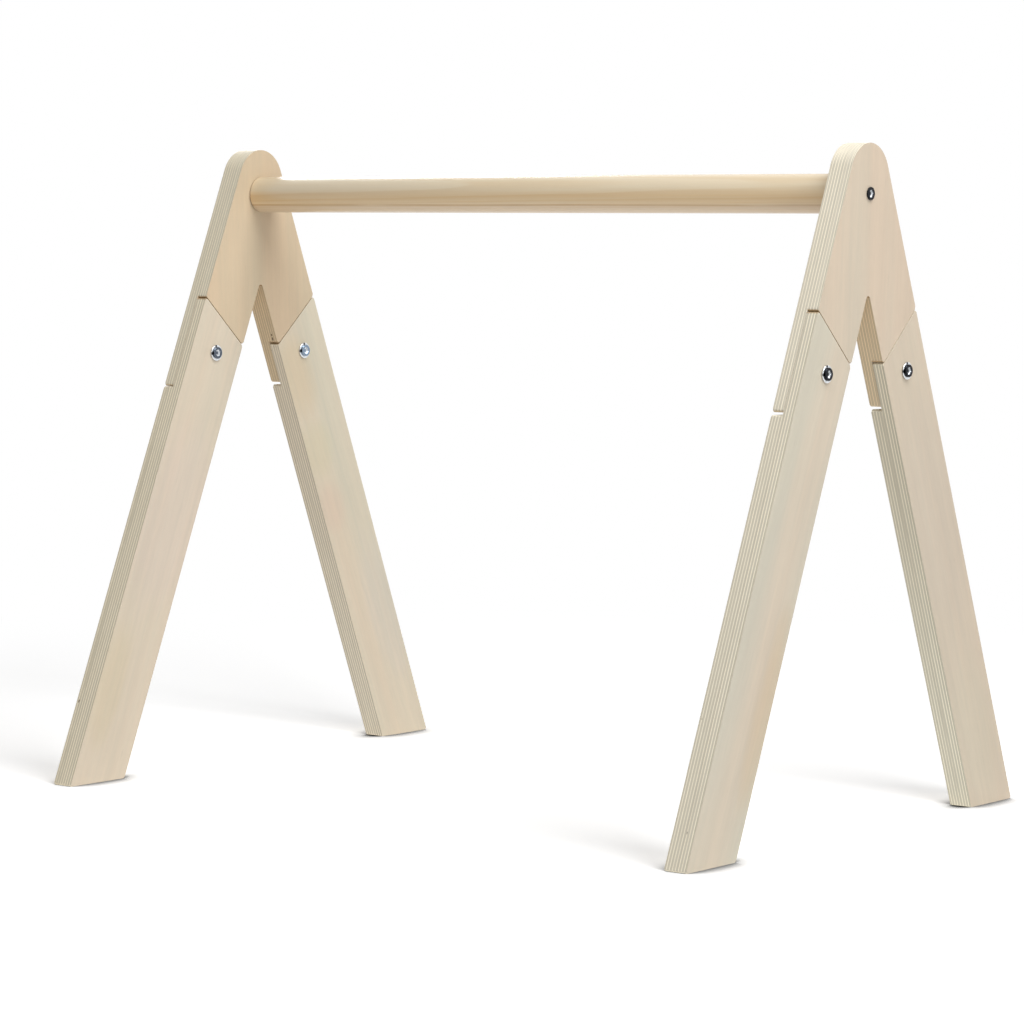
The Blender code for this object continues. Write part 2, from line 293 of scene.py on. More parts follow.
class ShaderGraph(Graph):
    """Node tree of a material."""

    noise_roughness = 0.55

    def __init__(self, name: str) -> None:
        """Start an empty material.

        Args:
            name: The material's name.
        """
        self.material = bpy.data.materials.new(name)
        self.material.use_nodes = True
        self.material.node_tree.nodes.clear()
        super().__init__(self.material.node_tree)

    def place(self) -> Term:
        """Place on the piece, in metres."""
        return self.result("ShaderNodeTexCoord", {}, "Object")

    def facing(self) -> Term:
        """Direction that the surface faces."""
        return self.result("ShaderNodeTexCoord", {}, "Normal")

    def turned(self, vector: Term, angle: float) -> Term:
        """Vector turned about X."""
        inputs = {"Vector": vector, "Angle": angle}
        return self.result("ShaderNodeVectorRotate", inputs, rotation_type="X_AXIS")

    def noise(self, place: Term, kind: Noise) -> Term:
        """Smooth noise about 0, from about -0.5 to 0.5.

        Args:
            place: Where it is read.
            kind: Which noise it is.

        Returns:
            The noise.
        """
        inputs = {
            "Vector": self.tinted(place, kind.per_metre),
            "Scale": 1.0,
            "Detail": kind.detail,
            "Roughness": self.noise_roughness,
        }
        return self.result("ShaderNodeTexNoise", inputs) - 0.5

    def chance(self, number: Number) -> Term:
        """Random number from 0 to 1 that belongs to another number."""
        return self.result("ShaderNodeTexWhiteNoise", {"W": number}, noise_dimensions="1D")

    def rise(self, value: Term, low: float, high: float) -> Term:
        """0 up to low, 1 from high, and smooth between them."""
        inputs = {"Value": value, "From Min": low, "From Max": high}
        return self.result("ShaderNodeMapRange", inputs, interpolation_type="SMOOTHSTEP")

    def blend(self, share: Number, first: object, second: object) -> Term:
        """Colour that goes from first to second as share goes from 0 to 1."""
        inputs = {"Factor_Float": share, "A_Color": first, "B_Color": second}
        return self.result("ShaderNodeMix", inputs, 2, data_type="RGBA")

    def shaded(self, colour: Term, level: Term) -> Term:
        """Colour made lighter or darker by a factor."""
        inputs = {"Vector": colour, "Scale": level}
        return self.result("ShaderNodeVectorMath", inputs, operation="SCALE")

    def tinted(self, colour: Term, tint: Triple) -> Term:
        """Colour or vector, each part of it multiplied by its own factor."""
        inputs = {"Vector": colour, "Vector_001": tint}
        return self.result("ShaderNodeVectorMath", inputs, operation="MULTIPLY")

    def filtered(self, share: Term, colour: Term, tint: Tint) -> Term:
        """Colour that goes to its tinted self as share goes from 0 to 1."""
        return self.blend(share, colour, self.tinted(colour, tint))

    def bump(self, height: Term, metres: float) -> Term:
        """Normal of a surface with this height, at a relief of so many metres."""
        inputs = {"Height": height, "Distance": metres, "Strength": 1.0}
        return self.result("ShaderNodeBump", inputs)

    def surface(self, inputs: dict[str, object]) -> bpy.types.Material:
        """Finish the material with a Principled BSDF.

        Args:
            inputs: The shader's inputs, by identifier.

        Returns:
            The finished material.
        """
        shader = self.result("ShaderNodeBsdfPrincipled", inputs)
        self.add("ShaderNodeOutputMaterial", {"Surface": shader})
        return self.material


# Finishes


@dataclass(frozen=True)
class Stain:
    """Soft patch of another tint on a board's faces, long along the grain."""

    middle: Point
    half_width: float
    half_length: float
    tint: Tint


@dataclass(frozen=True)
class PitAndReflectionSpot:
    """Small dark spot: a void in a board's edge, or a painted dark reflection on zinc."""

    middle: Triple
    half_width: float
    half_length: float


@dataclass(frozen=True)
class BoardLook:
    """How one board of the gym differs from the rest of its plywood.

    Tints filter its faces and edges; painted shade darkens down-facing inner edges and seam cuts.
    """

    peach_share: float
    face_tint: Tint
    edge_tint: Tint
    # Painted shade: tints of the inner edges that face down, and of the level cuts in the seams
    notch_tint: Tint = (1.0, 1.0, 1.0)
    seam_tint: Tint = (0.6, 0.5, 0.39)
    seam_side: float = 1.0
    dull_ply: float = -2.0
    face_line: float = 0.2
    figure: float = 1.9
    stains: tuple[Stain, ...] = ()
    pits: tuple[PitAndReflectionSpot, ...] = ()


@dataclass(frozen=True)
class BoardPoint:
    """Any point of one board, and where it is among the plies.

    The place has the board's grain along its last axis, and the layer that of the ply. The level
    is counted in plies from the back face. Crosswise is 1 in a ply with its grain across the
    board, and endness is how much end grain shows.
    """

    graph: ShaderGraph
    look: BoardLook
    turn: float
    seed: float
    place: Term
    layer: Term
    own_place: Term
    level: Term
    ply: Term
    last_ply: float
    crosswise: Term
    luck: Term
    from_line: Term
    endness: Term


@dataclass(frozen=True)
class FaceVeneer:
    """Colour of a board's faces: broad tints, bands along the grain, stains and small flecks."""

    pale: Colour = screen_colour(211, 201, 180)
    peach: Colour = screen_colour(220, 199, 175)
    tint_noise: Noise = Noise((9.0, 24.0, 1.7))
    streak_share: float = 0.4
    band_noise: Noise = Noise((20.0, 90.0, 2.0))
    band_tone: float = 0.14
    cloud_noise: Noise = Noise((8.0, 26.0, 9.0))
    cloud_tone: float = 0.12
    mottle_noise: Noise = Noise((260.0, 480.0, 90.0))
    mottle_tone: float = 0.06
    fleck_noise: Noise = Noise((700.0, 900.0, 60.0), 1.0)
    fleck_range: Range = (0.2, 0.3)
    fleck_tone: float = -0.06
    stain_noise: Noise = Noise((30.0, 60.0, 22.0))
    stain_waver: float = 1.2
    stain_range: Range = (1.5, 0.1)

    def colour(self, point: BoardPoint, streak: Term) -> Term:
        """Colour of one board's faces.

        Args:
            point: The point of the board.
            streak: Noise in thin streaks along the grain.

        Returns:
            The colour.
        """
        graph, look = point.graph, point.look
        tint = graph.noise(point.layer, self.tint_noise)
        share = look.peach_share + tint * look.figure + streak * self.streak_share
        colour = graph.blend(share.clamped(), self.pale, self.peach)
        _, across, along = graph.parts(point.place)
        waver = graph.noise(point.place, self.stain_noise) * self.stain_waver
        for stain in look.stains:
            middle = Matrix.Rotation(point.turn, 3, "X") @ Vector((0.0, *stain.middle))
            sideways = (across - middle.y) / stain.half_width
            lengthways = (along - middle.z) / stain.half_length
            inside = graph.rise(squares(sideways, lengthways) + waver, *self.stain_range)
            colour = graph.filtered(inside, colour, stain.tint)
        fleck = graph.rise(graph.noise(point.layer, self.fleck_noise), *self.fleck_range)
        tone = 1.0 + graph.noise(point.layer, self.band_noise) * self.band_tone
        tone = tone + graph.noise(point.layer, self.cloud_noise) * self.cloud_tone
        tone = tone + graph.noise(point.layer, self.mottle_noise) * self.mottle_tone
        return graph.shaded(graph.tinted(colour, look.face_tint), tone + fleck * self.fleck_tone)


@dataclass(frozen=True)
class CutEdge:
    """Colour of a board's cut edges: light and dark plies, glue lines, voids and painted shade.
    """

    long_grain: Colour = screen_colour(203, 197, 180)
    end_grain: Colour = screen_colour(237, 231, 213)
    glue: Colour = screen_colour(150, 128, 98)
    hollow: Colour = screen_colour(96, 78, 60)
    tone: float = 0.97
    luck_tone: float = 0.06
    same_range: Range = (0.7, 0.3)
    end_range: Range = (0.15, 0.85)
    inside_range: Range = (0.0, 0.3)
    patch_noise: Noise = Noise((1.0, 25.0, 14.0), 3.0)
    patch_light: float = 1.2
    patch_tone: float = 0.16
    dull_range: Range = (-0.12, 0.05)
    dull_share: float = 0.9
    cloud_noise: Noise = Noise((120.0, 40.0, 40.0), 3.0)
    cloud_glue: float = 1.2
    cloud_tone: float = 0.1
    pore_noise: Noise = Noise((2600.0, 1100.0, 1100.0))
    pore_tone: float = 0.1
    line_seed: float = 7.0
    line_luck: float = 0.6
    least_glue: float = 0.1
    glue_range: Range = (0.12, 0.0)
    open_range: Range = (0.192, 0.02)
    open_patch: Range = (-0.3, 0.1)
    void_noise: Noise = Noise((1.0, 150.0, 150.0), 1.0)
    void_range: Range = (0.29, 0.33)
    void_inside: Range = (0.1, 0.3)
    # Painted shade: which edges face down, how high it grows, and which level cuts line the seams
    down_range: Range = (-0.15, -0.35)
    notch_height: Range = (0.03, 0.28)
    seam_facing: Range = (0.45, 0.6)
    seam_height: Range = (0.313, 0.317)
    pit_range: Range = (1.3, 0.4)
    pit_side: float = 100.0

    def colour(self, point: BoardPoint) -> Term:
        """Colour of one board's edges.

        Args:
            point: The point of the board.

        Returns:
            The colour.
        """
        graph = point.graph
        patch = graph.noise(point.own_place, self.patch_noise)
        cloud = graph.noise(point.place, self.cloud_noise)
        pore = graph.noise(point.place, self.pore_noise)
        colour = self.glued(point, self.grained(point, patch), patch, cloud)
        tone = self.tone + point.luck * self.luck_tone + cloud * self.cloud_tone
        tone = tone + patch * self.patch_tone + pore * point.endness * self.pore_tone
        colour = graph.tinted(self.marked(point, colour), point.look.edge_tint)
        return graph.shaded(colour, tone)

    def grained(self, point: BoardPoint, patch: Term) -> Term:
        """Colour of the plies, light where end grain shows.

        Args:
            point: The point of the board.
            patch: Noise in patches along each ply.

        Returns:
            The colour.
        """
        graph = point.graph
        dull = graph.rise(abs(point.ply - point.look.dull_ply), *self.same_range)
        dull = dull * graph.rise(patch, *self.dull_range)
        light = graph.rise(point.endness, *self.end_range)
        light = light * graph.rise(point.from_line, *self.inside_range)
        light = light * (1.0 - dull * self.dull_share) * (1.0 + patch * self.patch_light)
        return graph.blend(light.at_most(1.0), self.long_grain, self.end_grain)

    def glued(self, point: BoardPoint, colour: Term, patch: Term, cloud: Term) -> Term:
        """Add the glue lines, the open line behind the face veneer and the voids.

        Args:
            point: The point of the board.
            colour: The colour so far.
            patch: Noise in patches along each ply.
            cloud: Noise in clouds over the edge.

        Returns:
            The colour.
        """
        graph = point.graph
        line = (point.level + 0.5).floor()
        luck = graph.chance(line + point.seed * self.line_seed)
        behind_face = graph.rise(abs(line - point.last_ply), *self.same_range)
        behind_face = behind_face * point.look.face_line
        strength = self.least_glue + luck * luck * self.line_luck + cloud * self.cloud_glue
        glue = graph.rise(point.from_line, *self.glue_range) * (strength + behind_face)
        colour = graph.blend(glue.clamped(), colour, self.glue)
        open_line = graph.rise(point.from_line, *self.open_range) * behind_face
        open_line = open_line * graph.rise(patch, *self.open_patch)
        colour = graph.blend(open_line, colour, self.hollow)
        void = graph.rise(graph.noise(point.own_place, self.void_noise), *self.void_range)
        void = void * point.crosswise * graph.rise(point.from_line, *self.void_inside)
        return graph.blend(void, colour, self.hollow)

    def marked(self, point: BoardPoint, colour: Term) -> Term:
        """Add painted shade on down-facing inner edges and seam cuts, and the pits.

        Args:
            point: The point of the board.
            colour: The colour so far.

        Returns:
            The colour.
        """
        graph, look = point.graph, point.look
        _, _, up = graph.parts(graph.facing())
        x, y, z = graph.parts(graph.place())
        # Painted shade: inner edges that face down are darker, more so higher up
        inner = graph.rise(up, *self.down_range) * graph.rise(z, *self.notch_height)
        colour = graph.filtered(inner, colour, look.notch_tint)
        # Painted shade on the level cuts that line the seams
        seam = graph.rise(up * look.seam_side, *self.seam_facing)
        seam = seam * graph.rise(z, *self.seam_height)
        colour = graph.filtered(seam, colour, look.seam_tint)
        for pit in look.pits:
            middle_x, middle_y, middle_z = pit.middle
            off = squares((x - middle_x) / pit.half_width, (z - middle_z) / pit.half_length)
            off = off + abs(y - middle_y) * self.pit_side
            colour = graph.blend(graph.rise(off, *self.pit_range), colour, self.hollow)
        return colour


@dataclass(frozen=True)
class PlywoodFinish:
    """Pale plywood, whose plies lie one behind the other along X.

    Every second ply has its grain across the board. An edge is light where it cuts the fibres
    across, and darker where it runs along them.
    """

    name: str
    look: BoardLook
    back_x: float
    grain_turn: float
    seed: float
    thickness: float = 0.018
    plies: int = 15
    veneer: FaceVeneer = FaceVeneer()
    edge: CutEdge = CutEdge()
    edge_range: Range = (0.97, 0.75)
    wander_noise: Noise = Noise((0.0, 60.0, 60.0), 1.0)
    wander: float = 0.16
    luck_depth: float = 3.0
    ply_depth: float = 5.3
    streak_noise: Noise = Noise((300.0, 300.0, 9.0), 3.0)
    streak_tone: float = 0.08
    streak_dull: float = 0.12
    streak_relief: float = 0.5
    fibre_noise: Noise = Noise((1500.0, 1500.0, 45.0))
    fibre_tone: float = 0.06
    end_dull: float = 0.12
    end_relief: float = -0.6
    roughness: float = 0.56
    specular: float = 0.4
    relief: float = 0.00004

    def point(self, graph: ShaderGraph) -> BoardPoint:
        """Find where any point of the board is among its plies.

        Args:
            graph: The material's graph.

        Returns:
            The point.
        """
        place = graph.turned(graph.place(), self.grain_turn)
        depth, across, along = graph.parts(place)
        wander = graph.noise(place, self.wander_noise) * self.wander
        level = (depth - self.back_x) * (self.plies / self.thickness) + wander
        last_ply = self.plies - 1.0
        ply = level.floor().at_least(0.0).at_most(last_ply)
        crosswise = (ply / 2.0).part() * 2.0
        luck = graph.chance(ply + self.seed)
        grain_along = graph.between(crosswise, along, across) + self.seed
        grain_across = graph.between(crosswise, across, along) + luck
        _, ny, nz = graph.parts(graph.turned(graph.facing(), self.grain_turn))
        return BoardPoint(
            graph=graph,
            look=self.look,
            turn=self.grain_turn,
            seed=self.seed,
            place=place,
            layer=graph.vector(depth + luck * self.luck_depth, grain_across, grain_along),
            own_place=graph.vector(ply * self.ply_depth + self.seed, across, along),
            level=level,
            ply=ply,
            last_ply=last_ply,
            crosswise=crosswise,
            luck=luck,
            from_line=0.5 - abs(level.part() - 0.5),
            endness=graph.between(crosswise, abs(nz), abs(ny)),
        )

    def material(self) -> bpy.types.Material:
        """Build the material.

        Returns:
            The plywood material.
        """
        graph = ShaderGraph(self.name)
        point = self.point(graph)
        streak = graph.noise(point.layer, self.streak_noise)
        fibre = graph.noise(point.layer, self.fibre_noise)
        face = self.veneer.colour(point, streak)
        edge = self.edge.colour(point)
        nx, _, _ = graph.parts(graph.facing())
        on_edge = graph.rise(abs(nx), *self.edge_range)
        end = point.endness * on_edge
        tone = 1.0 + streak * self.streak_tone + fibre * self.fibre_tone
        relief = streak * self.streak_relief + fibre + end * self.end_relief
        return graph.surface(
            {
                "Base Color": graph.shaded(graph.blend(on_edge, face, edge), tone),
                "Roughness": self.roughness + streak * self.streak_dull + end * self.end_dull,
                "Specular IOR Level": self.specular,
                "Normal": graph.bump(relief, self.relief),
            }
        )


@dataclass(frozen=True)
class PineFinish:
    """Sanded pine of the round bar: growth rings about a pith, drawn out along X."""

    name: str
    axis: Point
    pith: Point
    pith_lean: Point = (0.005, -0.004)
    ring_pitch: float = 0.0021
    pale: Colour = screen_colour(231, 217, 190)
    amber: Colour = screen_colour(219, 194, 155)
    amber_share: float = 0.3
    sway_noise: Noise = Noise((3.5, 30.0, 30.0))
    sway: float = 1.6
    late_start: Range = (0.35, 0.9)
    late_end: Range = (1.0, 0.93)
    late_share: float = 0.3
    late_dull: float = 0.05
    late_relief: float = -0.4
    streak_noise: Noise = Noise((7.0, 500.0, 500.0), 3.0)
    streak_share: float = 0.6
    streak_tone: float = 0.06
    streak_dull: float = 0.12
    streak_relief: float = 0.6
    fibre_noise: Noise = Noise((50.0, 2200.0, 2200.0))
    fibre_tone: float = 0.05
    drift_noise: Noise = Noise((5.0, 60.0, 60.0))
    drift: float = 0.003
    # Painted shade: a warmer, darker band along the bar's front, where its core shadow falls
    heart: Point = (-0.0137, -0.0035)
    heart_range: Range = (0.0085, 0.001)
    heart_tint: Tint = (0.99, 0.87, 0.70)
    line: Point = (-0.0113, -0.0083)
    line_range: Range = (0.0011, 0.0003)
    line_drift: float = 0.3
    line_tint: Tint = (0.80, 0.70, 0.58)
    break_noise: Noise = Noise((9.0, 90.0, 90.0))
    break_range: Range = (-0.25, 0.15)
    # Painted shade: the bar's underside darker
    belly_range: Range = (-0.0075, -0.0095)
    belly_tint: Tint = (0.89, 0.83, 0.80)
    roughness: float = 0.36
    coat: float = 0.45
    coat_roughness: float = 0.22
    relief: float = 0.00004

    def material(self) -> bpy.types.Material:
        """Build the material.

        Returns:
            The pine material.
        """
        graph = ShaderGraph(self.name)
        place = graph.place()
        x, y, z = graph.parts(place)
        off_y = y - self.pith[0] + x * self.pith_lean[0]
        off_z = z - self.pith[1] + x * self.pith_lean[1]
        sway = graph.noise(place, self.sway_noise) * self.sway
        ring = (squares(off_y, off_z).raised(0.5) / self.ring_pitch + sway).part()
        late = graph.rise(ring, *self.late_start) * graph.rise(ring, *self.late_end)
        streak = graph.noise(place, self.streak_noise)
        fibre = graph.noise(place, self.fibre_noise)
        share = late * self.late_share + streak * self.streak_share + self.amber_share
        colour = graph.blend(share.clamped(), self.pale, self.amber)
        drift = graph.noise(place, self.drift_noise) * self.drift
        # Painted core shadow along the bar's front
        heart = graph.rise(self.off_line(y, z + drift, self.heart), *self.heart_range)
        colour = graph.filtered(heart, colour, self.heart_tint)
        line = self.off_line(y, z + drift * self.line_drift, self.line)
        broken = graph.rise(graph.noise(place, self.break_noise), *self.break_range)
        line = graph.rise(line, *self.line_range) * broken
        colour = graph.filtered(line, colour, self.line_tint)
        # Painted shade on the bar's underside
        underside_shade = graph.rise(z - self.axis[1] + drift, *self.belly_range)
        colour = graph.filtered(underside_shade, colour, self.belly_tint)
        tone = 1.0 + streak * self.streak_tone + fibre * self.fibre_tone
        relief = streak * self.streak_relief + fibre + late * self.late_relief
        return graph.surface(
            {
                "Base Color": graph.shaded(colour, tone),
                "Roughness": self.roughness + streak * self.streak_dull + late * self.late_dull,
                "Specular IOR Level": 0.5,
                "Coat Weight": self.coat,
                "Coat Roughness": self.coat_roughness,
                "Normal": graph.bump(relief, self.relief),
            }
        )

    def off_line(self, y: Term, z: Term, offset: Point) -> Term:
        """How far a place is from a line along the bar.

        Args:
            y: The place's y.
            z: The place's z.
            offset: The line's y and z from the bar's axis.

        Returns:
            The distance.
        """
        off_y = y - (self.axis[0] + offset[0])
        off_z = z - (self.axis[1] + offset[1])
        return squares(off_y, off_z).raised(0.5)


@dataclass(frozen=True)
class ZincFinish:
    """Bright zinc on steel, with fine turning marks, painted shade and painted dark reflections.
    """

    name: str
    bright: Colour = screen_colour(228, 231, 234)
    # Colour of the painted shade and dark reflection, and a paler one for screws behind if given
    dark: Colour = screen_colour(36, 38, 42)
    dark_behind: Colour | None = None
    behind_range: Range = (-0.01, 0.01)
    hollow_share: float = 1.2
    patchy: float = 0.25
    spots: tuple[PitAndReflectionSpot, ...] = ()
    spot_range: Range = (1.5, 0.4)
    cloud_noise: Noise = Noise((260.0, 260.0, 260.0), 3.0)
    cloud_dull: float = 0.1
    grit_noise: Noise = Noise((3000.0, 3000.0, 3000.0))
    grit_dull: float = 0.06
    turning_noise: Noise = Noise((9000.0, 1.0, 1.0))
    turning_relief: float = 0.6
    roughness: float = 0.24
    relief: float = 0.000008

    def material(self) -> bpy.types.Material:
        """Build the material, which reads the piece's own attribute "turned".

        Returns:
            The zinc material.
        """
        graph = ShaderGraph(self.name)
        place = graph.place()
        _, y, z = graph.parts(place)
        turned = graph.result("ShaderNodeAttribute", {}, "Vector", attribute_name="turned")
        hollow, radius, _ = graph.parts(turned)
        cloud = graph.noise(place, self.cloud_noise)
        grit = graph.noise(place, self.grit_noise)
        turning = graph.noise(graph.vector(radius, 0.0, 0.0), self.turning_noise)
        # Painted shade and painted dark reflection: the rings' share, random clouds and dark
        # spots
        share = hollow * self.hollow_share + cloud * self.patchy
        # Painted dark reflection spots
        for reflection in self.spots:
            _, middle_y, middle_z = reflection.middle
            off = squares((y - middle_y) / reflection.half_width, (z - middle_z) / reflection.half_length)
            share = share + graph.rise(off, *self.spot_range)
        # Painted dark reflection, paler behind the middle when dark_behind is given
        dark = self.dark
        if self.dark_behind is not None:
            dark = graph.blend(graph.rise(y, *self.behind_range), self.dark, self.dark_behind)
        return graph.surface(
            {
                "Base Color": graph.blend(share.clamped(), self.bright, dark),
                "Metallic": 1.0,
                "Roughness": self.roughness + cloud * self.cloud_dull + grit * self.grit_dull,
                "Normal": graph.bump(turning * self.turning_relief + grit, self.relief),
            }
        )


# Meshes


def show(name: str, mesh: bpy.types.Mesh) -> bpy.types.Object:
    """Put a mesh in the scene.

    Args:
        name: The object's name.
        mesh: The mesh.

    Returns:
        The object, at the origin.
    """
    obj = bpy.data.objects.new(name, mesh)
    bpy.context.scene.collection.objects.link(obj)
    return obj


def show_solid(name: str, bm: bmesh.types.BMesh) -> bpy.types.Object:
    """Put a closed bmesh in the scene, with its faces outwards.

    Args:
        name: The object's name.
        bm: The bmesh, which is used up.

    Returns:
        The object, at the origin.
    """
    bmesh.ops.recalc_face_normals(bm, faces=bm.faces[:])
    mesh = bpy.data.meshes.new(name)
    bm.to_mesh(mesh)
    bm.free()
    return show(name, mesh)


def axis_of(node: str) -> Point:
    """Middle of a CAD node, as y and z."""
    low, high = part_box(node)
    return (low.y + high.y) / 2, (low.z + high.z) / 2


def settle(obj: bpy.types.Object) -> bpy.types.Object:
    """Swap an object's mesh for what its modifiers make of it, and take them off.

    Args:
        obj: The object.

    Returns:
        The same object, with a plain mesh.
    """
    evaluated = obj.evaluated_get(bpy.context.evaluated_depsgraph_get())
    mesh = bpy.data.meshes.new_from_object(evaluated)
    old = obj.data
    obj.modifiers.clear()
    obj.data = mesh
    mesh.name = obj.name
    bpy.data.meshes.remove(old)
    return obj


def soften(obj: bpy.types.Object) -> bpy.types.Object:
    """Shade an object smooth, but for its sharp edges.

    Args:
        obj: The object.

    Returns:
        The same object.
    """
    obj.data.shade_smooth()
    obj.data.set_sharp_from_angle(angle=SMOOTH_ANGLE)
    return obj


def finish_piece(
    obj: bpy.types.Object, material: bpy.types.Material, nodes: list[str]
) -> None:
    """Give a piece its material and its place in the frame, and report it.

    Args:
        obj: The piece, with its place in its mesh.
        material: Its finish.
        nodes: The CAD nodes that it stands for.
    """
    obj.data.materials.clear()
    obj.data.materials.append(material)
    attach(obj, BODY)
    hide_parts(*nodes)
    off = 0.0
    corners = [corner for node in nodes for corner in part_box(node)]
    for axis in range(3):
        places = [vertex.co[axis] for vertex in obj.data.vertices]
        ends = [corner[axis] for corner in corners]
        off = max(off, abs(min(places) - min(ends)), abs(max(places) - max(ends)))
    if off > FIT_TOLERANCE:
        LOG.warning("%s is %.2f mm off its CAD box", obj.name, off * 1000)
    LOG.info("%s: %d faces, %.2f mm off", obj.name, len(obj.data.polygons), off * 1000)


# Turned pieces


BAR_SIDES = 128
WASHER_SIDES = 64
THREADED_SIDES = 48
HEAD_STEPS = 12
# Painted highlight: how much lighter the rounded rim of a screw head is painted
RIM_SHINE = 0.15
ROUND_STEPS = 4
THREAD_STEPS_PER_TURN = 8


@dataclass(frozen=True)
class Ring:
    """One ring of a turned piece; a six-sided one is measured from its axis to a flat.

    Its third number paints shade and dark reflection: how far its finish darkens, from 0 to 1.
    """

    x: Number
    radius: Number
    hollow: float = 0.0
    six_sided: bool = False


@dataclass(frozen=True)
class Thread:
    """Screw thread on the stretch after one of a piece's rings."""

    after: int
    steps: int
    pitch: Number
    depth: Number
    run_out: int = 8


class TurnedTree(Graph):
    """Geometry Nodes tree that turns a piece about X and sets it on each point of a mesh.

    Its inputs are the piece's sizes. The rings go from the piece's +X end to its -X end on the
    outside, and back on the inside, so that the faces point outwards.
    """

    def __init__(self, name: str, sizes: object, sides: int) -> None:
        """Start a tree with one input for each size.

        Args:
            name: The tree's name.
            sizes: A dataclass of the piece's sizes, in metres.
            sides: How many sides a ring has.
        """
        super().__init__(bpy.data.node_groups.new(name, "GeometryNodeTree"))
        self.sides = sides
        interface = self.tree.interface
        interface.new_socket("Geometry", in_out="INPUT", socket_type="NodeSocketGeometry")
        self.values = {item.name: getattr(sizes, item.name) for item in fields(sizes)}
        kinds = {**dict.fromkeys(self.values, "Float"), "seed": "Int", "finish": "Material"}
        for label, kind in kinds.items():
            interface.new_socket(label, in_out="INPUT", socket_type="NodeSocket" + kind)
        interface.new_socket("Geometry", in_out="OUTPUT", socket_type="NodeSocketGeometry")
        self.inputs = self.tree.nodes.new("NodeGroupInput")

    def size(self, label: str) -> Term:
        """One of the tree's named inputs."""
        return self.term(self.inputs, label)

    def pick(self, index: Term, numbers: list[Number]) -> Term:
        """The number at a place in a list.

        Args:
            index: The place, from 0.
            numbers: The numbers.

        Returns:
            The number there.
        """
        node = self.tree.nodes.new("GeometryNodeIndexSwitch")
        node.data_type = "FLOAT"
        while len(node.index_switch_items) < len(numbers):
            node.index_switch_items.new()
        self.feed(node.inputs["Index"], index)
        for place, number in enumerate(numbers):
            self.feed(node.inputs[place + 1], number)
        return self.term(node)

    def whole(self, operation: str, *values: Number) -> Term:
        """Result of an Integer Math node."""
        return self.math(operation, *values, kind="FunctionNodeIntegerMath")

    def loft(self, rings: list[Ring], thread: Thread | None) -> Term:
        """Mesh through the rings, with its seam and its poles closed.

        Args:
            rings: The rings, in order.
            thread: The thread on one stretch of the piece, if it has one.

        Returns:
            The mesh.
        """
        thread = thread or Thread(after=0, steps=0, pitch=1.0, depth=0.0)
        count = len(rings) + thread.steps
        inputs = {"Vertices X": count, "Vertices Y": self.sides + 1}
        grid = self.result("GeometryNodeMeshGrid", inputs)
        index = self.result("GeometryNodeInputIndex", {})
        number = self.whole("DIVIDE_FLOOR", index, self.sides + 1)
        angle = self.whole("MODULO", index, self.sides + 1) * (2 * math.pi / self.sides)
        steps_in = self.whole("MAXIMUM", number - thread.after, 0)
        steps_in = self.whole("MINIMUM", steps_in, thread.steps)
        row = number - steps_in
        in_run = steps_in.above(0.5) * (number - thread.after).below(thread.steps + 0.5)
        share = steps_in * in_run / (thread.steps + 1)
        x = self.pick(row, [ring.x for ring in rings])
        radius = self.pick(row, [ring.radius for ring in rings])
        x = self.between(share, x, rings[min(thread.after + 1, len(rings) - 1)].x)
        fade = (steps_in * (1 / thread.run_out)).at_most(1.0)
        fade = fade.at_most((thread.steps + 1 - steps_in) * (1 / thread.run_out)) * in_run
        turn = (x / thread.pitch - angle * (0.5 / math.pi)).part()
        radius = radius - (1.0 - abs(turn * 2.0 - 1.0)) * thread.depth * fade
        flat = self.pick(row, [float(ring.six_sided) for ring in rings])
        sixth = math.pi / 3
        to_flat = ((angle * (1 / sixth)).part() * sixth - sixth / 2).cosine()
        radius = self.between(flat, radius, radius / to_flat)
        place = self.vector(x, radius * angle.cosine(), radius * angle.sine())
        shell = self.result("GeometryNodeSetPosition", {"Geometry": grid, "Position": place})
        # Each ring's painted shade and painted reflection, kept for the zinc
        hollow = self.pick(row, [ring.hollow for ring in rings])
        inputs = {"Geometry": shell, "Name": "turned", "Value": self.vector(hollow, radius, x)}
        marked = self.result("GeometryNodeStoreNamedAttribute", inputs, data_type="FLOAT_VECTOR")
        inputs = {"Geometry": marked, "Distance": MERGE_DISTANCE}
        return self.result("GeometryNodeMergeByDistance", inputs)

    def finish(self, mesh: Term) -> None:
        """Set the mesh on each point, turned at random about its axis, as real geometry.

        Args:
            mesh: The turned piece.
        """
        inputs = {"Min_001": 0.0, "Max_001": 2 * math.pi, "Seed": self.size("seed")}
        spin = self.result("FunctionNodeRandomValue", inputs, 1)
        facing = self.result("GeometryNodeInputNamedAttribute", {"Name": "facing"})
        turn = self.vector(spin, 0.0, facing)
        rotation = self.result("FunctionNodeEulerToRotation", {"Euler": turn})
        inputs = {"Points": self.size("Geometry"), "Instance": mesh, "Rotation": rotation}
        placed = self.result("GeometryNodeInstanceOnPoints", inputs)
        real = self.result("GeometryNodeRealizeInstances", {"Geometry": placed})
        inputs = {"Geometry": real, "Material": self.size("finish")}
        dressed = self.result("GeometryNodeSetMaterial", inputs)
        self.feed(self.tree.nodes.new("NodeGroupOutput").inputs[0], dressed)

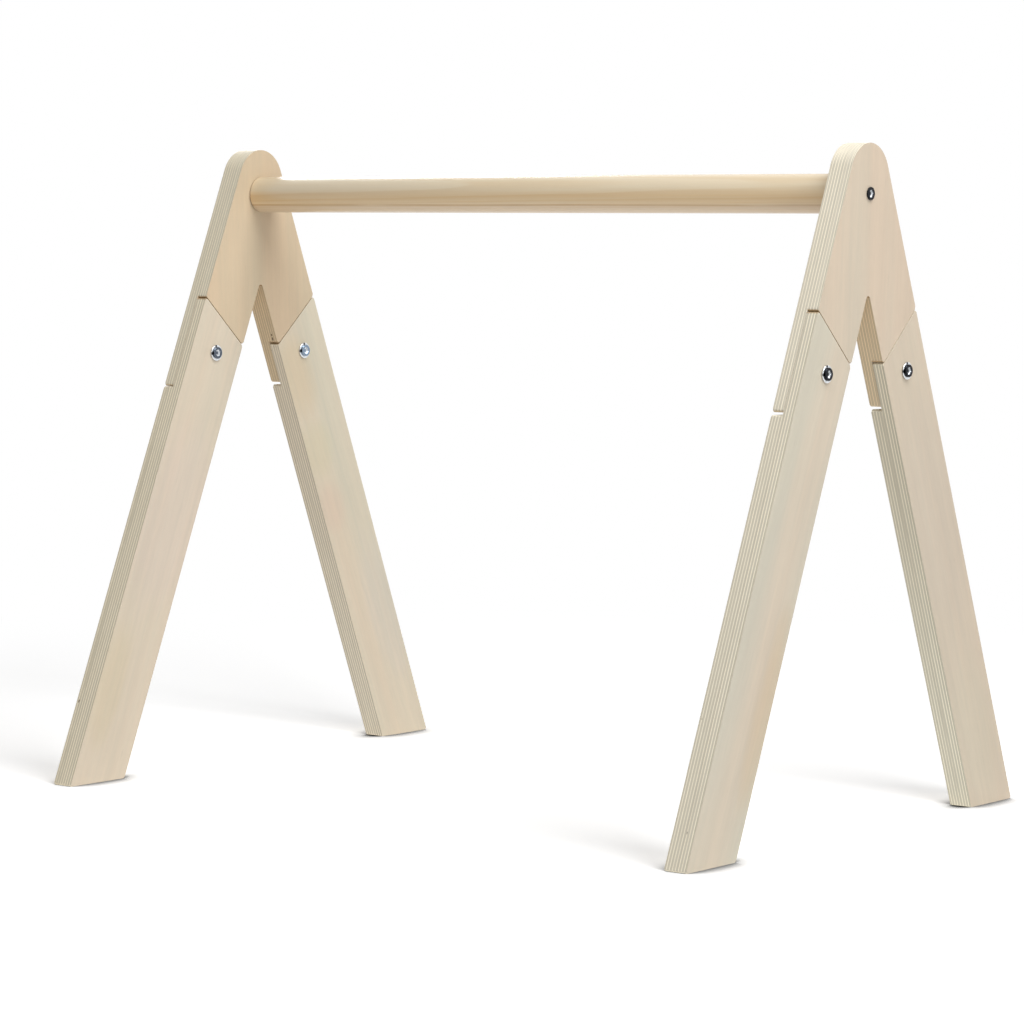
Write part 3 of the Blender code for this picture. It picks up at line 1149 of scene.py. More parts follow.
    def piece(
        self,
        name: str,
        places: list[Vector],
        facing: list[float],
        material: bpy.types.Material,
        seed: int,
    ) -> bpy.types.Object:
        """Run the tree on points and keep the result as one plain mesh.

        Args:
            name: The piece's name.
            places: Where each copy sits.
            facing: How far each copy is turned about Z.
            material: The finish.
            seed: Seed of the random turns.

        Returns:
            The piece, with its place in its mesh.
        """
        points = bpy.data.meshes.new(name + "_points")
        points.from_pydata(places, [], [])
        attribute = points.attributes.new("facing", "FLOAT", "POINT")
        attribute.data.foreach_set("value", facing)
        obj = show(name, points)
        modifier = obj.modifiers.new("turned", "NODES")
        modifier.node_group = self.tree
        values = {**self.values, "seed": seed, "finish": material}
        for item in self.tree.interface.items_tree:
            if item.in_out == "INPUT" and item.name in values:
                modifier[item.identifier] = values[item.name]
        return soften(settle(obj))


def quarter(x: Number, radius: Number, size: Number, turns: tuple[int, int]) -> list[Ring]:
    """Rings round a quarter circle.

    Args:
        x: Place of its centre along X.
        radius: Distance of its centre from the axis.
        size: Its radius.
        turns: Where it starts and ends, in quarter turns from outwards towards +X.

    Returns:
        The rings.
    """
    rings = []
    for step in range(ROUND_STEPS + 1):
        angle = math.pi / 2 * (turns[0] + (turns[1] - turns[0]) * step / ROUND_STEPS)
        rings.append(Ring(x + size * math.sin(angle), radius + size * math.cos(angle)))
    return rings


@dataclass(frozen=True)
class ScrewSizes:
    """Low-head screw with a hexagon socket; x is 0 under its head, which points to +X."""

    length: float
    diameter: float = 0.006
    tip_chamfer: float = 0.0006
    neck: float = 0.0015
    head_diameter: float = 0.0092
    head_height: float = 0.0013
    head_rim: float = 0.0009
    head_flat: float = 0.0084
    rim_ease: float = 0.0002
    socket_across: float = 0.005
    socket_ease: float = 0.00015
    socket_depth: float = 0.0012
    socket_point: float = 0.0005
    socket_shade: float = 0.0004
    thread_pitch: float = 0.001
    thread_depth: float = 0.0005


@dataclass(frozen=True)
class WasherSizes:
    """Flat washer; x is 0 on the face that lies on the wood."""

    hole_radius: float = 0.0033
    outer_radius: float = 0.00625
    thickness: float = 0.001
    ease: float = 0.0004


@dataclass(frozen=True)
class InsertSizes:
    """Collared threaded insert; x is 0 on its collar's face and its body points to +X."""

    length: float
    bore_radius: float = 0.0033
    body_radius: float = 0.0046
    collar_radius: float = 0.0058
    collar_thickness: float = 0.001
    ease: float = 0.0002
    thread_pitch: float = 0.001
    thread_depth: float = 0.00025


@dataclass(frozen=True)
class BarSizes:
    """Round bar with an insert pocket and a blind bore in each end; x is 0 at its middle."""

    length: float = 0.550
    diameter: float = 0.028
    end_round: float = 0.0012
    collar_radius: float = 0.0061
    collar_depth: float = 0.0016
    pocket_radius: float = 0.0049
    pocket_depth: float = 0.0136
    bore_radius: float = 0.0036
    bore_depth: float = 0.0184


def turned_screw(sizes: ScrewSizes) -> TurnedTree:
    """Tree of a screw.

    Args:
        sizes: The screw's sizes.

    Returns:
        The finished tree.
    """
    tree = TurnedTree("screw_tree", sizes, THREADED_SIDES)
    size = tree.size
    floor = size("head_height") - size("socket_depth")
    top, point, ease = size("head_height"), size("socket_point"), size("socket_ease")
    half_across = size("socket_across") / 2.0
    # Painted shade and reflection: dark socket middle and mouth, dark head top, lighter rim
    rings = [
        Ring(floor - point, 0.0, 1.0),
        Ring(floor - point * 0.6, half_across * 0.4, 0.9),
        Ring(floor - point * 0.3, half_across * 0.7, 0.1),
        Ring(floor, half_across, 0.0, True),
        Ring(top - size("socket_shade"), half_across, 0.5, True),
        Ring(top - ease, half_across, 1.0, True),
        Ring(top, half_across + ease, 1.0, True),
    ]
    head_radius, shank_radius = size("head_diameter") / 2.0, size("diameter") / 2.0
    flat_radius = size("head_flat") / 2.0
    round_width = head_radius - flat_radius
    round_height = top - size("head_rim")
    for step in range(HEAD_STEPS + 1):
        angle = math.pi / 2 * (1 - step / HEAD_STEPS)
        x = size("head_rim") + round_height * math.sin(angle)
        hollow = 1.0 - RIM_SHINE * math.cos(angle)
        rings.append(Ring(x, flat_radius + round_width * math.cos(angle), hollow))
    rings += [
        Ring(size("rim_ease"), head_radius, 0.85),
        Ring(0.0, head_radius - size("rim_ease"), 1.0),
        Ring(0.0, shank_radius, 0.6),
        Ring(-size("neck"), shank_radius, 0.3),
    ]
    last = len(rings) - 1
    end, chamfer = -size("length"), size("tip_chamfer")
    rings += [
        Ring(end + chamfer, shank_radius, 0.3),
        Ring(end, shank_radius - chamfer, 0.2),
        Ring(end, 0.0, 0.2),
    ]
    threaded = sizes.length - sizes.tip_chamfer - sizes.neck
    steps = round(threaded / sizes.thread_pitch * THREAD_STEPS_PER_TURN)
    thread = Thread(last, steps, size("thread_pitch"), size("thread_depth"))
    tree.finish(tree.loft(rings, thread))
    return tree


def turned_washer(sizes: WasherSizes) -> TurnedTree:
    """Tree of a washer.

    Args:
        sizes: The washer's sizes.

    Returns:
        The finished tree.
    """
    tree = TurnedTree("washer_tree", sizes, WASHER_SIDES)
    size = tree.size
    top, ease, hole = size("thickness"), size("ease"), size("hole_radius")
    centre = size("outer_radius") - ease
    # Third numbers are painted shade, darker at the hole
    rings = [Ring(top - ease, hole, 0.8), Ring(top, hole + ease, 0.3)]
    rings += quarter(top - ease, centre, ease, (1, 0))
    rings += quarter(ease, centre, ease, (0, -1))
    rings += [Ring(0.0, hole + ease, 0.3), Ring(ease, hole, 0.8)]
    tree.finish(tree.loft(rings + rings[:1], None))
    return tree


def turned_insert(sizes: InsertSizes) -> TurnedTree:
    """Tree of a threaded insert.

    Args:
        sizes: The insert's sizes.

    Returns:
        The finished tree.
    """
    tree = TurnedTree("insert_tree", sizes, THREADED_SIDES)
    size = tree.size
    ease, bore, body = size("ease"), size("bore_radius"), size("body_radius")
    end, collar = size("length"), size("collar_thickness")
    middle = size("collar_radius") - ease
    # Third numbers are painted shade, darker at the bore
    rings = [
        Ring(end, bore, 0.6),
        Ring(end, body - ease, 0.3),
        Ring(end - ease, body, 0.3),
        Ring(collar, body, 0.3),
        Ring(collar, middle, 0.3),
    ]
    rings += quarter(collar - ease, middle, ease, (1, 0))
    rings += quarter(ease, middle, ease, (0, -1))
    rings += [Ring(0.0, bore + ease, 0.2), Ring(ease, bore, 0.6)]
    steps = round(sizes.length / sizes.thread_pitch * THREAD_STEPS_PER_TURN)
    thread = Thread(len(rings) - 1, steps, size("thread_pitch"), size("thread_depth"))
    tree.finish(tree.loft(rings + rings[:1], thread))
    return tree


def turned_bar(sizes: BarSizes) -> TurnedTree:
    """Tree of the round bar.

    Args:
        sizes: The bar's sizes.

    Returns:
        The finished tree.
    """
    tree = TurnedTree("bar_tree", sizes, BAR_SIDES)
    size = tree.size
    end = size("length") / 2.0
    ends = [Ring(end - size("bore_depth"), 0.0)]
    for part, outer_part in (("bore", "pocket"), ("pocket", "collar"), ("collar", None)):
        radius = size(part + "_radius")
        outer_end = end - size(outer_part + "_depth") if outer_part else end
        ends += [Ring(end - size(part + "_depth"), radius), Ring(outer_end, radius)]
    ease = size("end_round")
    ends += quarter(end - ease, size("diameter") / 2.0 - ease, ease, (1, 0))
    rings = ends + [Ring(-ring.x, ring.radius) for ring in reversed(ends)]
    tree.finish(tree.loft(rings, None))
    return tree


# Boards


@dataclass(frozen=True)
class BoardShape:
    """Sizes of an A-frame's boards, and the outlines that follow from them.

    Outlines are (y, z) points that run anticlockwise seen from +X. A board's -X half follows one
    outline and its +X half another, which leaves the ledges of its half laps.
    """

    thickness: float = 0.018
    foot_spread: float = 0.426
    lean: float = math.radians(22.0)
    leg_width: float = 0.054
    crown_radius: float = 0.025
    notch_tip_radius: float = 0.0025
    corner_radius: float = 0.0012
    lap_corner_radius: float = 0.0017
    edge_ease: float = 0.0006
    seam_drop: float = 0.052
    seam_rise: float = 0.039
    tongue_reach: float = 0.031
    seam_gap: float = 0.0006
    tongue_gap: float = 0.002
    lap_gap: float = 0.0003
    crown_steps: int = 40
    notch_steps: int = 8
    corner_steps: int = 6
    ease_steps: int = 4

    @property
    def slope(self) -> float:
        """How far a leg leans for each metre of height."""
        return math.tan(self.lean)

    @property
    def level_width(self) -> float:
        """Width of a leg, measured level."""
        return self.leg_width / math.cos(self.lean)

    @property
    def crown_height(self) -> float:
        """Height of the crown's centre."""
        return (self.foot_spread / 2 - self.crown_radius / math.cos(self.lean)) / self.slope

    @property
    def notch_height(self) -> float:
        """Height at which the legs' inner edges would meet."""
        return (self.foot_spread / 2 - self.level_width) / self.slope

    @property
    def seam_inner_height(self) -> float:
        """Height of the slanted seam on the inner edge."""
        return self.notch_height - self.seam_drop

    @property
    def tongue_end_height(self) -> float:
        """Height of the lower end of the head plate's tongues."""
        return self.seam_inner_height - self.tongue_reach

    @property
    def half_lap(self) -> float:
        """Thickness of each half of a lap."""
        return (self.thickness - self.lap_gap) / 2

    def outer_edge(self, height: float) -> Point:
        """Point on the front leg's outer edge."""
        return (height * self.slope - self.foot_spread / 2, height)

    def inner_edge(self, height: float) -> Point:
        """Point on the front leg's inner edge."""
        return (height * self.slope - self.foot_spread / 2 + self.level_width, height)

    def rounded(self, path: list[Point], radius: float) -> list[Point]:
        """Round the inner corners of a path, from tangent to tangent, and drop its two ends.

        Args:
            path: The points of the path.
            radius: The rounding's radius.

        Returns:
            The points.
        """
        points = []
        for before, corner, after in zip(path, path[1:], path[2:]):
            place = Vector(corner)
            to_before = (Vector(before) - place).normalized()
            to_after = (Vector(after) - place).normalized()
            half_angle = to_before.angle(to_after) / 2
            reach = radius / math.sin(half_angle)
            centre = place + (to_before + to_after).normalized() * reach
            start = place + to_before * (radius / math.tan(half_angle)) - centre
            turn = math.pi - 2 * half_angle
            if to_before.x * to_after.y - to_before.y * to_after.x > 0:
                turn = -turn
            for step in range(self.corner_steps + 1):
                spoke = Matrix.Rotation(turn * step / self.corner_steps, 2) @ start
                points.append(tuple(centre + spoke))
        return points

    def arc(self, centre: float, radius: float, turns: Range, steps: int) -> list[Point]:
        """Points on an arc about a centre on the frame's middle line.

        Args:
            centre: Height of the centre.
            radius: The arc's radius.
            turns: Its first and its last angle.
            steps: How many steps it has.

        Returns:
            The points.
        """
        start, end = turns
        angles = [start + (end - start) * step / steps for step in range(steps + 1)]
        return [(radius * math.cos(a), centre + radius * math.sin(a)) for a in angles]

    def seam(self, gap: float) -> tuple[Point, Point]:
        """The slanted seam's outer and inner end.

        Args:
            gap: How far it is moved, square to itself, towards the foot.

        Returns:
            The outer end and the inner end.
        """
        outer = self.outer_edge(self.seam_inner_height + self.seam_rise)
        inner = self.inner_edge(self.seam_inner_height)
        fall = (inner[1] - outer[1]) / (inner[0] - outer[0])
        drop = gap * math.hypot(1.0, fall) / (1.0 - fall * self.slope)
        return self.outer_edge(outer[1] - drop), self.inner_edge(inner[1] - drop)

    def head(self) -> tuple[list[Point], list[Point]]:
        """Outlines of the head plate.

        Returns:
            The -X half, with its tongues, and the +X half.
        """
        up, side = math.pi / 2, math.pi - self.lean
        crown = self.arc(self.crown_height, self.crown_radius, (up, side), self.crown_steps)
        tip = self.notch_height - self.notch_tip_radius / math.sin(self.lean)
        notch = self.arc(tip, self.notch_tip_radius, (side, up), self.notch_steps)
        crown[0] = (0.0, crown[0][1])
        notch[-1] = (0.0, notch[-1][1])
        radius, height = self.lap_corner_radius, self.tongue_end_height
        seam = self.rounded([crown[-1], *self.seam(0.0), notch[0]], radius)
        tongue = [crown[-1], self.outer_edge(height), self.inner_edge(height), notch[0]]
        tongue = [seam[0], *self.rounded(tongue, radius), seam[-1]]
        low, high = crown + tongue + notch, crown + seam + notch
        return low + mirrored(low)[1:-1], high + mirrored(high)[1:-1]

    def leg(self, end: End) -> tuple[list[Point], list[Point]]:
        """Outlines of a leg.

        Args:
            end: Which leg of the frame it is.

        Returns:
            The -X half, below the lap, and the +X half, up to the seam.
        """
        height = self.tongue_end_height - self.tongue_gap
        feet = [self.outer_edge(0.0), self.inner_edge(0.0)]
        tops = [self.inner_edge(height), self.outer_edge(height)]
        seam = reversed(self.seam(self.seam_gap))
        radius = self.lap_corner_radius
        foot = self.rounded([tops[1], *feet, tops[0]], self.corner_radius)
        shoulder = self.rounded([feet[1], *tops, feet[0]], radius)
        tongue = self.rounded([feet[1], *seam, feet[0]], radius)
        low, high = foot + shoulder, foot + [shoulder[0], *tongue, shoulder[-1]]
        return (low, high) if end is End.FRONT else (mirrored(low), mirrored(high))


def mirrored(points: list[Point]) -> list[Point]:
    """The same outline on the other side of the frame, in the order that closes it."""
    return [(-y, z) for y, z in reversed(points)]


def outline_edges(points: list[Point]) -> list[tuple[Point, Point]]:
    """Pairs of neighbouring points round a closed outline."""
    return list(zip(points, points[1:] + points[:1]))


def ledge_loops(low: list[Point], high: list[Point]) -> list[list[Point]]:
    """Outlines of the flat ledges where only one half of a board goes on.

    Args:
        low: Outline of the -X half.
        high: Outline of the +X half.

    Returns:
        One closed outline for each ledge.
    """
    low_edges, high_edges = outline_edges(low), outline_edges(high)
    follow = {start: end for start, end in low_edges if (start, end) not in set(high_edges)}
    follow.update({end: start for start, end in high_edges if (start, end) not in set(low_edges)})
    loops = []
    while follow:
        start, point = follow.popitem()
        loop = [start]
        while point != start:
            loop.append(point)
            point = follow.pop(point)
        loops.append(loop)
    return loops


def stepped_board(
    name: str, outlines: tuple[list[Point], list[Point]], places: Triple, shape: BoardShape
) -> bpy.types.Object:
    """Board whose -X half follows one outline and whose +X half follows another.

    Args:
        name: The board's name.
        outlines: The outlines of the -X half and of the +X half.
        places: X of the back face, of the step and of the front face.
        shape: The sizes, for the easing of its rims.

    Returns:
        The board, with its place in its mesh.
    """
    low, high = outlines
    back_x, step_x, front_x = places
    bm = bmesh.new()
    back = {point: bm.verts.new((back_x, *point)) for point in low}
    step = {point: bm.verts.new((step_x, *point)) for point in dict.fromkeys(low + high)}
    front = {point: bm.verts.new((front_x, *point)) for point in high}
    caps = [
        bm.faces.new([back[point] for point in reversed(low)]),
        bm.faces.new([front[point] for point in high]),
    ]
    for start, end in outline_edges(low):
        bm.faces.new((back[start], back[end], step[end], step[start]))
    for start, end in outline_edges(high):
        bm.faces.new((step[start], step[end], front[end], front[start]))
    for loop in ledge_loops(low, high):
        bm.faces.new([step[point] for point in loop])
    bmesh.ops.bevel(
        bm,
        geom=[edge for cap in caps for edge in cap.edges],
        offset=shape.edge_ease,
        segments=shape.ease_steps,
        profile=0.5,
        affect="EDGES",
    )
    return show_solid(name, bm)


@dataclass(frozen=True)
class Bore:
    """Stepped round bore along X, as (x, radius) pairs from its -X end to its +X end."""

    axis: Point
    steps: list[Point]
    sides: int = 64

    def cutter(self) -> bpy.types.Object:
        """Solid that cuts the bore.

        Returns:
            The cutter, hidden from renders.
        """
        bm = bmesh.new()
        loops = []
        for x, radius in self.steps:
            loop = []
            for side in range(self.sides):
                angle = 2 * math.pi * side / self.sides
                y = self.axis[0] + radius * math.cos(angle)
                z = self.axis[1] + radius * math.sin(angle)
                loop.append(bm.verts.new((x, y, z)))
            loops.append(loop)
        bm.faces.new(loops[0])
        bm.faces.new(loops[-1])
        for one, other in zip(loops, loops[1:]):
            for side in range(self.sides):
                after = (side + 1) % self.sides
                bm.faces.new((one[side], one[after], other[after], other[side]))
        obj = show_solid("bore", bm)
        obj.hide_render = True
        return obj


def bore_board(board: bpy.types.Object, bores: list[Bore]) -> None:
    """Cut bores into a board and shade it, with true flats beside its rounded edges.

    Args:
        board: The board.
        bores: Its bores.
    """
    cutters = [bore.cutter() for bore in bores]
    for cutter in cutters:
        boolean = board.modifiers.new("bore", "BOOLEAN")
        boolean.operation = "DIFFERENCE"
        boolean.solver = "EXACT"
        boolean.object = cutter
    settle(board)
    for cutter in cutters:
        mesh = cutter.data
        bpy.data.objects.remove(cutter)
        bpy.data.meshes.remove(mesh)
    soften(board).modifiers.new("flats", "WEIGHTED_NORMAL").keep_sharp = True
    settle(board)


# Sub-assemblies


# Each painted dark reflection on a washer: off its axis along Y and Z, half width and half length
WASHER_DARK_REFLECTIONS = ((-0.0053, -0.0002, 0.0010, 0.0015), (-0.0010, 0.0054, 0.0010, 0.0008))

# Each board's look; the tints of its down-facing inner edges and seams are painted shade
LOOKS = {
    "head_left": BoardLook(
        0.75,
        (0.82, 0.80, 0.73),
        (1.10, 1.06, 0.99),
        face_line=0.4,
        notch_tint=(0.81, 0.70, 0.585),
        seam_side=-1.0,
        pits=(
            PitAndReflectionSpot((-0.2797, 0.0180, 0.3384), 0.0007, 0.0010),
            PitAndReflectionSpot((-0.2797, 0.0193, 0.3352), 0.0008, 0.0016),
            PitAndReflectionSpot((-0.2800, 0.0206, 0.3320), 0.0006, 0.0009),
            PitAndReflectionSpot((-0.2801, -0.0882, 0.3088), 0.0006, 0.0022),
        ),
    ),
    "head_right": BoardLook(
        0.75,
        (0.80, 0.82, 0.84),
        (1.18, 1.16, 1.14),
        face_line=0.3,
        notch_tint=(0.77, 0.67, 0.55),
        seam_side=-1.0,
    ),
    "front_left": BoardLook(
        0.35,
        (0.92, 0.91, 0.92),
        (1.17, 1.12, 1.04),
        dull_ply=3.0,
        face_line=0.3,
        pits=(PitAndReflectionSpot((-0.2910, -0.1881, 0.0616), 0.0006, 0.0013),),
        stains=(
            Stain((-0.103, 0.20), 0.040, 0.080, (1.0, 0.985, 1.02)),
            Stain((-0.172, 0.075), 0.018, 0.050, (0.97, 0.96, 0.905)),
        ),
    ),
    "back_left": BoardLook(
        0.35,
        (0.98, 1.01, 1.02),
        (1.13, 1.08, 1.03),
        notch_tint=(0.91, 0.89, 0.88),
        face_line=0.7,
        stains=(
            Stain((0.045, 0.305), 0.018, 0.038, (0.975, 0.935, 0.87)),
            Stain((0.070, 0.245), 0.020, 0.025, (0.97, 0.985, 0.94)),
            Stain((0.088, 0.195), 0.018, 0.022, (1.0, 0.955, 0.96)),
            Stain((0.155, 0.11), 0.020, 0.070, (0.98, 0.99, 1.035)),
        ),
    ),
    "front_right": BoardLook(
        0.35,
        (0.835, 0.86, 0.89),
        (1.14, 1.12, 1.09),
        stains=(
            Stain((-0.122, 0.10), 0.013, 0.070, (1.0, 0.93, 0.85)),
            Stain((-0.142, 0.15), 0.014, 0.120, (0.99, 0.995, 1.005)),
        ),
    ),
    "back_right": BoardLook(
        0.35,
        (0.84, 0.83, 0.84),
        (1.12, 1.12, 1.09),
        notch_tint=(0.87, 0.85, 0.83),
        dull_ply=7.0,
        face_line=0.5,
        figure=0.6,
        seam_tint=(0.92, 0.88, 0.84),
        stains=(
            Stain((0.095, 0.22), 0.040, 0.090, (0.965, 0.965, 0.98)),
            Stain((0.160, 0.06), 0.030, 0.060, (1.0, 1.02, 1.01)),
        ),
    ),
}


@dataclass
class AFrame:
    """One A-frame: its head plate, its two legs, and the hardware of its two laps."""

    side: Side
    shape: BoardShape = BoardShape()
    screw: ScrewSizes = ScrewSizes(length=0.016)
    washer: WasherSizes = WasherSizes()
    insert: InsertSizes = InsertSizes(length=0.00765)
    hole_radius: float = 0.0036
    pocket_play: float = 0.0003
    tight_gap: float = 0.0003
    washer_play: float = 0.0001
    overrun: float = 0.002
    head_grain: float = math.radians(2.0)
    leg_grain: float = math.radians(0.8)
    head_seed: float = 11.0
    leg_seed: float = 3.0
    hardware_seed: int = 5
    washer_patchy: float = 1.1
    # Colours of the painted dark reflection on the left lap screws, in front and behind
    left_dark: Colour = screen_colour(92, 100, 111)
    left_dark_behind: Colour = screen_colour(138, 154, 172)

    def node(self, part: str, end: End | None = None) -> str:
        """Name of one of the frame's CAD nodes."""
        words = [part] + ([end.value] if end else []) + [self.side.value]
        return "_".join(words)

    @property
    def back_x(self) -> float:
        """Place of the boards' -X face."""
        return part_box(self.node("head_plate"))[0].x

    @property
    def front_x(self) -> float:
        """Place of the boards' +X face."""
        return self.back_x + self.shape.thickness

    def lap_axis(self, end: End) -> Point:
        """Where a lap's screw is, as y and z."""
        return axis_of(self.node("leg_washer", end))

    def lap_bore(self, end: End) -> Bore:
        """Bore of a lap: collar and insert in its -X half, a plain hole in the rest.

        Args:
            end: Which of the frame's laps it is in.

        Returns:
            The bore.
        """
        play = self.pocket_play
        collar = self.insert.collar_radius + play
        pocket = self.insert.body_radius + play
        seat = self.back_x + self.insert.collar_thickness + 2 * play
        middle = (self.back_x + self.front_x) / 2
        steps = [
            (self.back_x - self.overrun, collar),
            (seat, collar),
            (seat, pocket),
            (middle, pocket),
            (middle, self.hole_radius),
            (self.front_x + self.overrun, self.hole_radius),
        ]
        return Bore(self.lap_axis(end), steps)

    def bar_bore(self) -> Bore:
        """Plain hole of the bar's screw."""
        ends = (self.back_x - self.overrun, self.front_x + self.overrun)
        return Bore(axis_of("crossbar"), [(x, self.hole_radius) for x in ends])

    def plywood(self, board: str, turn: float, seed: float) -> bpy.types.Material:
        """Plywood of one board, by its name in the table of looks without its side."""
        name = board + "_" + self.side.value
        return PlywoodFinish(name + "_plywood", LOOKS[name], self.back_x, turn, seed).material()

    def build_head(self) -> None:
        """Build and dress the head plate."""
        name = "head_board_" + self.side.value
        places = (self.back_x, self.back_x + self.shape.half_lap, self.front_x)
        board = stepped_board(name, self.shape.head(), places, self.shape)
        bore_board(board, [self.bar_bore(), self.lap_bore(End.FRONT), self.lap_bore(End.BACK)])
        sign = self.side.sign
        material = self.plywood("head", self.head_grain * sign, self.head_seed + sign)
        finish_piece(board, material, [self.node("head_plate")])

    def build_leg(self, end: End) -> None:
        """Build and dress a leg.

        Args:
            end: Which leg it is.
        """
        name = "leg_board_" + end.value + "_" + self.side.value
        shape = self.shape
        if (self.side, end) == (Side.LEFT, End.FRONT):
            shape = replace(shape, tongue_gap=self.tight_gap)
        places = (self.back_x, self.back_x + shape.half_lap + shape.lap_gap, self.front_x)
        board = stepped_board(name, shape.leg(end), places, shape)
        bore_board(board, [self.lap_bore(end)])
        sign = self.side.sign
        turn = self.leg_grain * sign - end.sign * shape.lean
        material = self.plywood(end.value, turn, self.leg_seed + 2.0 * sign + end.sign)
        finish_piece(board, material, [self.node("leg", end)])

    def zinc(self, name: str, part: str) -> ZincFinish:
        """Zinc of one kind of the frame's hardware.

        Args:
            name: The piece's name.
            part: Which kind it is.

        Returns:
            The finish.
        """
        finish = ZincFinish(name + "_zinc")
        if part == "leg_washer":
            # Painted dark reflections on each washer
            spots = [
                PitAndReflectionSpot((0.0, y + off_y, z + off_z), half_width, half_length)
                for y, z in map(self.lap_axis, End)
                for off_y, off_z, half_width, half_length in WASHER_DARK_REFLECTIONS
            ]
            return replace(finish, patchy=self.washer_patchy, spots=tuple(spots))
        # The left screws' painted dark reflection has its own colours
        if part == "leg_bolt" and self.side is Side.LEFT:
            return replace(finish, dark=self.left_dark, dark_behind=self.left_dark_behind)
        return finish

    def build_hardware(self) -> None:
        """Build and dress the screws, washers and inserts of the two laps."""
        under_head = self.washer.thickness + self.washer_play
        kinds = [
            ("leg_bolt", "leg_washer", "lap_screws", turned_screw(self.screw), under_head),
            ("leg_washer", "leg_washer", "lap_washers", turned_washer(self.washer), 0.0),
            ("leg_insert", "leg_insert", "lap_inserts", turned_insert(self.insert), 0.0),
        ]
        first_seed = self.hardware_seed + self.side.sign
        for seed, (part, seat, label, tree, rise) in enumerate(kinds, first_seed):
            places = []
            for end in End:
                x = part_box(self.node(seat, end))[0].x + rise
                places.append(Vector((x, *self.lap_axis(end))))
            name = label + "_" + self.side.value
            finish = self.zinc(name, part).material()
            piece = tree.piece(name, places, [0.0, 0.0], finish, seed)
            finish_piece(piece, finish, [self.node(part, end) for end in End])

    def build(self) -> None:
        """Build the whole frame."""
        self.build_head()
        for end in End:
            self.build_leg(end)
        self.build_hardware()


@dataclass
class Crossbar:
    """The round bar, with the insert and the screw that hold it at each end."""

    bar: BarSizes = BarSizes()
    screw: ScrewSizes = ScrewSizes(length=0.035)
    insert: InsertSizes = InsertSizes(length=0.013)
    pith: Point = (0.022, 0.437)
    head_room: float = 0.0023
    bar_seed: int = 1
    hardware_seed: int = 9

    def build_bar(self) -> None:
        """Build and dress the bar."""
        low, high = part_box("crossbar")
        finish = PineFinish("bar_pine", axis_of("crossbar"), self.pith).material()
        tree = turned_bar(self.bar)
        piece = tree.piece("round_bar", [(low + high) / 2], [0.0], finish, self.bar_seed)
        finish_piece(piece, finish, ["crossbar"])

    def build_hardware(self) -> None:
        """Build and dress the screws and inserts at the bar's ends."""
        screw, insert = turned_screw(self.screw), turned_insert(self.insert)
        kinds = [
            ("bar_screws", "bar_bolt_", screw, self.head_room, [math.pi, 0.0]),
            ("bar_inserts", "bar_insert_", insert, 0.0, [0.0, math.pi]),
        ]
        for name, part, tree, inset, facing in kinds:
            ends_x = (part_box(part + "left")[0].x + inset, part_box(part + "right")[1].x - inset)
            places = [Vector((x, *axis_of("crossbar"))) for x in ends_x]
            finish = ZincFinish(name + "_zinc").material()
            piece = tree.piece(name, places, facing, finish, self.hardware_seed)
            finish_piece(piece, finish, [part + side.value for side in Side])

    def build(self) -> None:
        """Build the bar and its hardware."""
        self.build_bar()
        self.build_hardware()


# Studio


class Reach(Enum):
    """What a lamp lights."""

    ALL = "all"
    GYM = "gym"
    FLOOR = "floor"


@dataclass(frozen=True)
class Lamp:
    """One soft lamp: where it hangs, its width and height, its power, and what it lights."""

    name: str
    place: Triple
    width: float
    height: float
    power: float
    reach: Reach = Reach.ALL

    def build(self, target: Vector, floor: bpy.types.Object) -> None:
        """Hang the lamp.

        Args:
            target: The point that it faces.
            floor: The floor, which only some lamps light.
        """
        lamp = bpy.data.lights.new(self.name, "AREA")
        lamp.shape = "ELLIPSE"
        lamp.size = self.width
        lamp.size_y = self.height
        lamp.energy = self.power
        obj = bpy.data.objects.new(self.name, lamp)
        place = Vector(self.place)
        obj.location = place
        obj.rotation_euler = (target - place).to_track_quat("-Z", "Y").to_euler()
        bpy.context.scene.collection.objects.link(obj)
        if self.reach is not Reach.ALL:
            lit = bpy.data.collections.new(self.name + "_lit")
            lit.objects.link(floor)
            state = "INCLUDE" if self.reach is Reach.FLOOR else "EXCLUDE"
            lit.collection_objects[0].light_linking.link_state = state
            obj.light_linking.receiver_collection = lit


